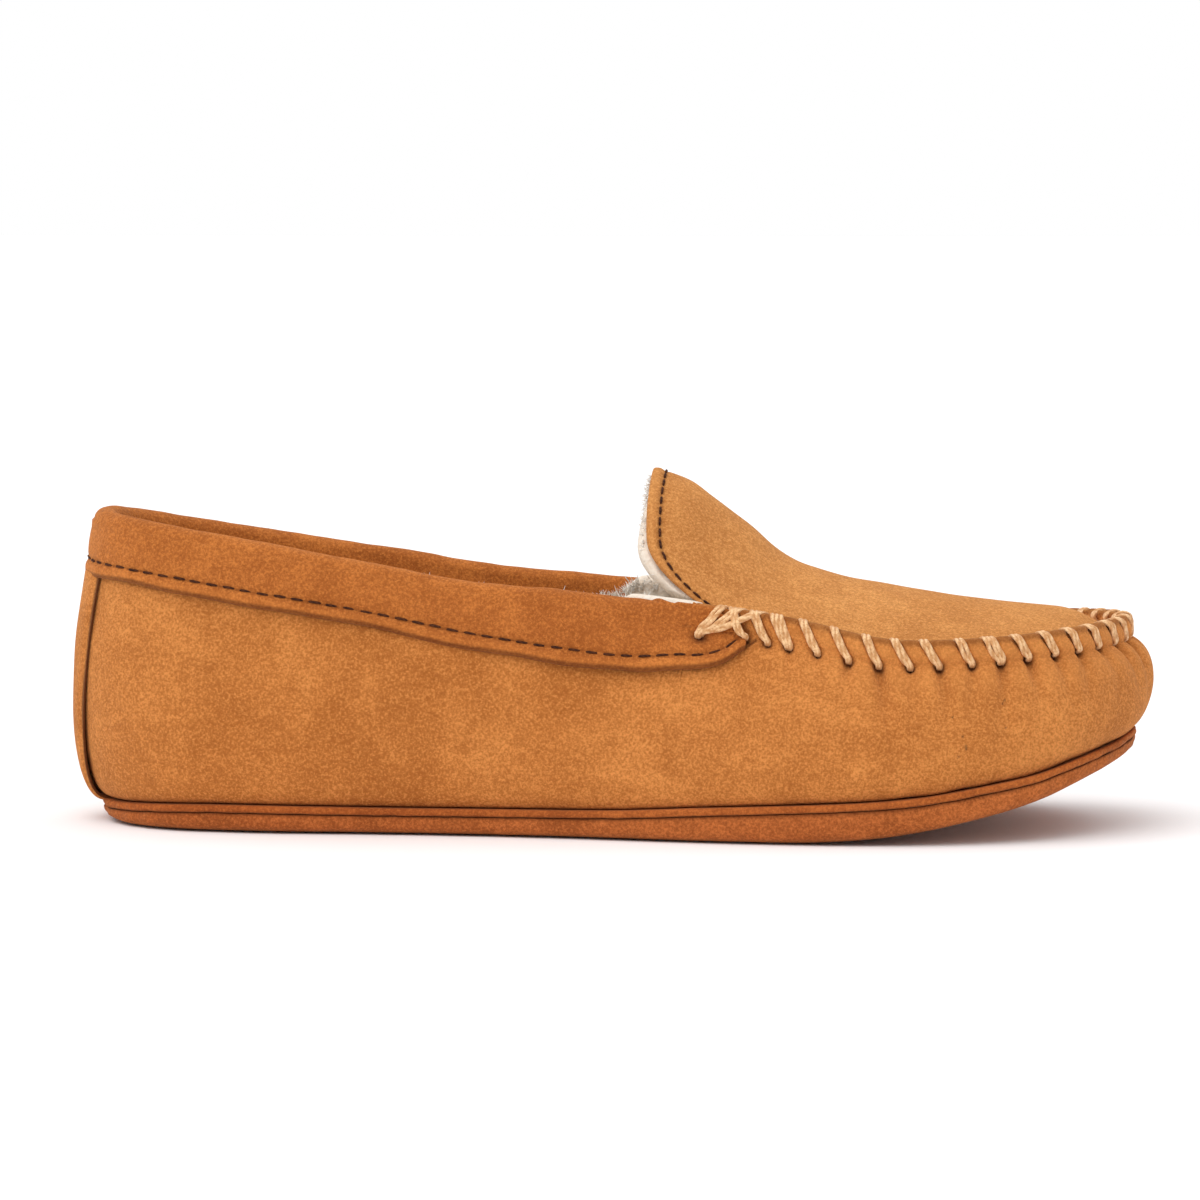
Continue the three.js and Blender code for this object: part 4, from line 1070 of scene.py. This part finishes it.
weltThick = 1.8
section = [(-soleMake["weltIn"], 0), (-0.5, 0), (1.2, 0.0), (1.9, -0.05), (2.25, -0.3),
           (2.4, -0.75), (2.38, -1.2), (2.1, -1.6), (1.6, -1.78), (0.4, -weltThick),
           (-soleMake["weltIn"], -weltThick)]
fine = curve(section, 34)
rows = [loopAt(out, lambda x, d=d: soleTop(x) + d) for out, d in fine]
ring = np.stack([*rows, rows[0]], 1)
n = planNormal(feather, u)[:, None]
out = np.append(fine[:, 0], -3)
fray = softness(ring, 5, 0.10, 41) + softness(ring, 2.2, 0.06, 42)
fray = fray * step(0.2, 1.6, out)[None, :]
ring = ring + n * fray[..., None]
ring = np.concatenate([ring, ring[:1]])
# painted shade in the crease where the wall meets the welt and on the welt's underside; the welt's
# pale mark is an even lighter tone
weltPaintedShade = 0.35 * hump(out - 0.15, 0.55)[None, :] * np.ones((len(ring), 1))
weltPaintedShade += 0.3 * (np.append(fine[:, 1], 0) < -1.45)[None, :]
welt = lay("welt_suede", [(ring, {"dark": weltPaintedShade, "pale": 0 * weltPaintedShade + 0.15})])
dress(welt, weltSuede, "suede_welt", "welt")


def rim(x):
    return soleTop(x) - weltThick - 0.14


def ladder(loop, height):
    count = len(loop) // 2
    a, b = loop[:count + 1], np.concatenate([loop[:1], loop[:count - 1:-1]])
    t = np.linspace(0, 1, 40)[None, :, None]
    made = mix(a[:, None], b[:, None], t)
    inside = made[:, 1:-1]
    inside[..., 2] = height(inside[..., 0])
    return made


# Sole edge: out, share of the way up, and how much it swells
profile = [(-2.2, 0, 0), (-1.0, 0.01, 0.05), (0.2, 0.06, 0.2), (1.0, 0.16, 0.5), (1.65, 0.32, 1),
           (1.95, 0.55, 1), (2.0, 0.8, 1), (1.9, 0.95, 1), (1.6, 1.0, 1), (0.9, 1.0, 1),
           (0.4, 0.98, 0)]
smoothed = curve(profile, 30)
rows = [loopAt(out, lambda x, s=s: mix(tread(x), rim(x), s)) for out, s, _ in smoothed]
skirt = np.stack(rows, 1)
roll = softness(skirt, 6, 0.12, 45) * smoothed[:, 2].clip(0, 1)[None, :]
skirt = skirt + planNormal(feather, u)[:, None] * roll[..., None]
under = ladder(skirt[:, 0], tread)
over = ladder(skirt[:, -1], rim)
closed = np.concatenate([skirt, skirt[:1]])
shareUp = smoothed[:, 1][None, :] * np.ones((len(closed), 1))
# painted shade in the crease under the welt and along the floor line
solePaintedShade = 0.55 * hump(shareUp - 1.0, 0.10) + 0.30 * hump(shareUp, 0.12)
# the tread and the hidden top face under the welt are darker all over
outsole = lay("outsole_suede", [
    (closed, {"dark": solePaintedShade}),
    (under, {"dark": np.full(under.shape[:2], 0.18)}),
    (over, {"dark": np.full(over.shape[:2], 0.5)})])
dress(outsole, soleSuede, "suede_sole", "outsole")
print("sole made")

# Floor, soft studio light and camera
studio = {
    "target": (-2.25, 2.10, 53.8), "azimuth": 3.0, "elevation": 5.0, "distance": 1400,
    "lens": 171.36, "floor": "#fcfbfc", "dome": 0.7,
    "lamps": [("key", (-0.38, -0.36, 0.85), 64, 1.25), ("top", (0.0, 0.1, 1.0), 90, 0.7)],
}
scene = bpy.context.scene
scene.view_settings.view_transform = "Standard"
scene.view_settings.look = "None"

bm = bmesh.new()
bmesh.ops.create_grid(bm, x_segments=8, y_segments=8, size=6)
floorMesh = bpy.data.meshes.new("floor")
bm.to_mesh(floorMesh)
bm.free()
floor = bpy.data.objects.new("floor", floorMesh)
floor.location.z = -0.0004
scene.collection.objects.link(floor)
paper, tree, at = fresh("seamless white paper")  # plain, with the faintest unevenness
cloud = add(tree, "ShaderNodeTexNoise", {"Vector": at, "Scale": 3.0, "Detail": 2.0}).outputs[0]
finishWith(tree, blend(tree, cloud, studio["floor"], "#fbfafb"), {"Roughness": 0.9})
floorMesh.materials.append(paper)

world = bpy.data.worlds.new("studio")  # white to look at, a dimmer dome to light with
world.use_nodes = True
tree = world.node_tree
tree.nodes.clear()
seen = add(tree, "ShaderNodeLightPath").outputs["Is Camera Ray"]
level = stretch(tree, seen, 0, 1, studio["dome"], 1.0)
dome = add(tree, "ShaderNodeBackground", {"Color": (1, 1, 1, 1), "Strength": level})
add(tree, "ShaderNodeOutputWorld", {"Surface": dome.outputs[0]})
scene.world = world

for name, towards, spread, strength in studio["lamps"]:
    data = bpy.data.lights.new(name, "SUN")
    data.angle, data.energy = math.radians(spread), strength
    lamp = bpy.data.objects.new(name, data)
    lamp.rotation_euler = Vector(towards).to_track_quat("Z", "Y").to_euler()
    scene.collection.objects.link(lamp)

a, e = math.radians(studio["azimuth"]), math.radians(studio["elevation"])
back = Vector((math.sin(a) * math.cos(e), -math.cos(a) * math.cos(e), math.sin(e)))
camera = bpy.data.objects.new("camera", bpy.data.cameras.new("camera"))
camera.data.lens, camera.data.sensor_width = studio["lens"], 36
camera.data.clip_end = 20
camera.location = Vector(studio["target"]) / 1000 + back * studio["distance"] / 1000
camera.rotation_euler = (-back).to_track_quat("-Z", "Y").to_euler()
scene.collection.objects.link(camera)
scene.camera = camera

bpy.context.view_layer.update()
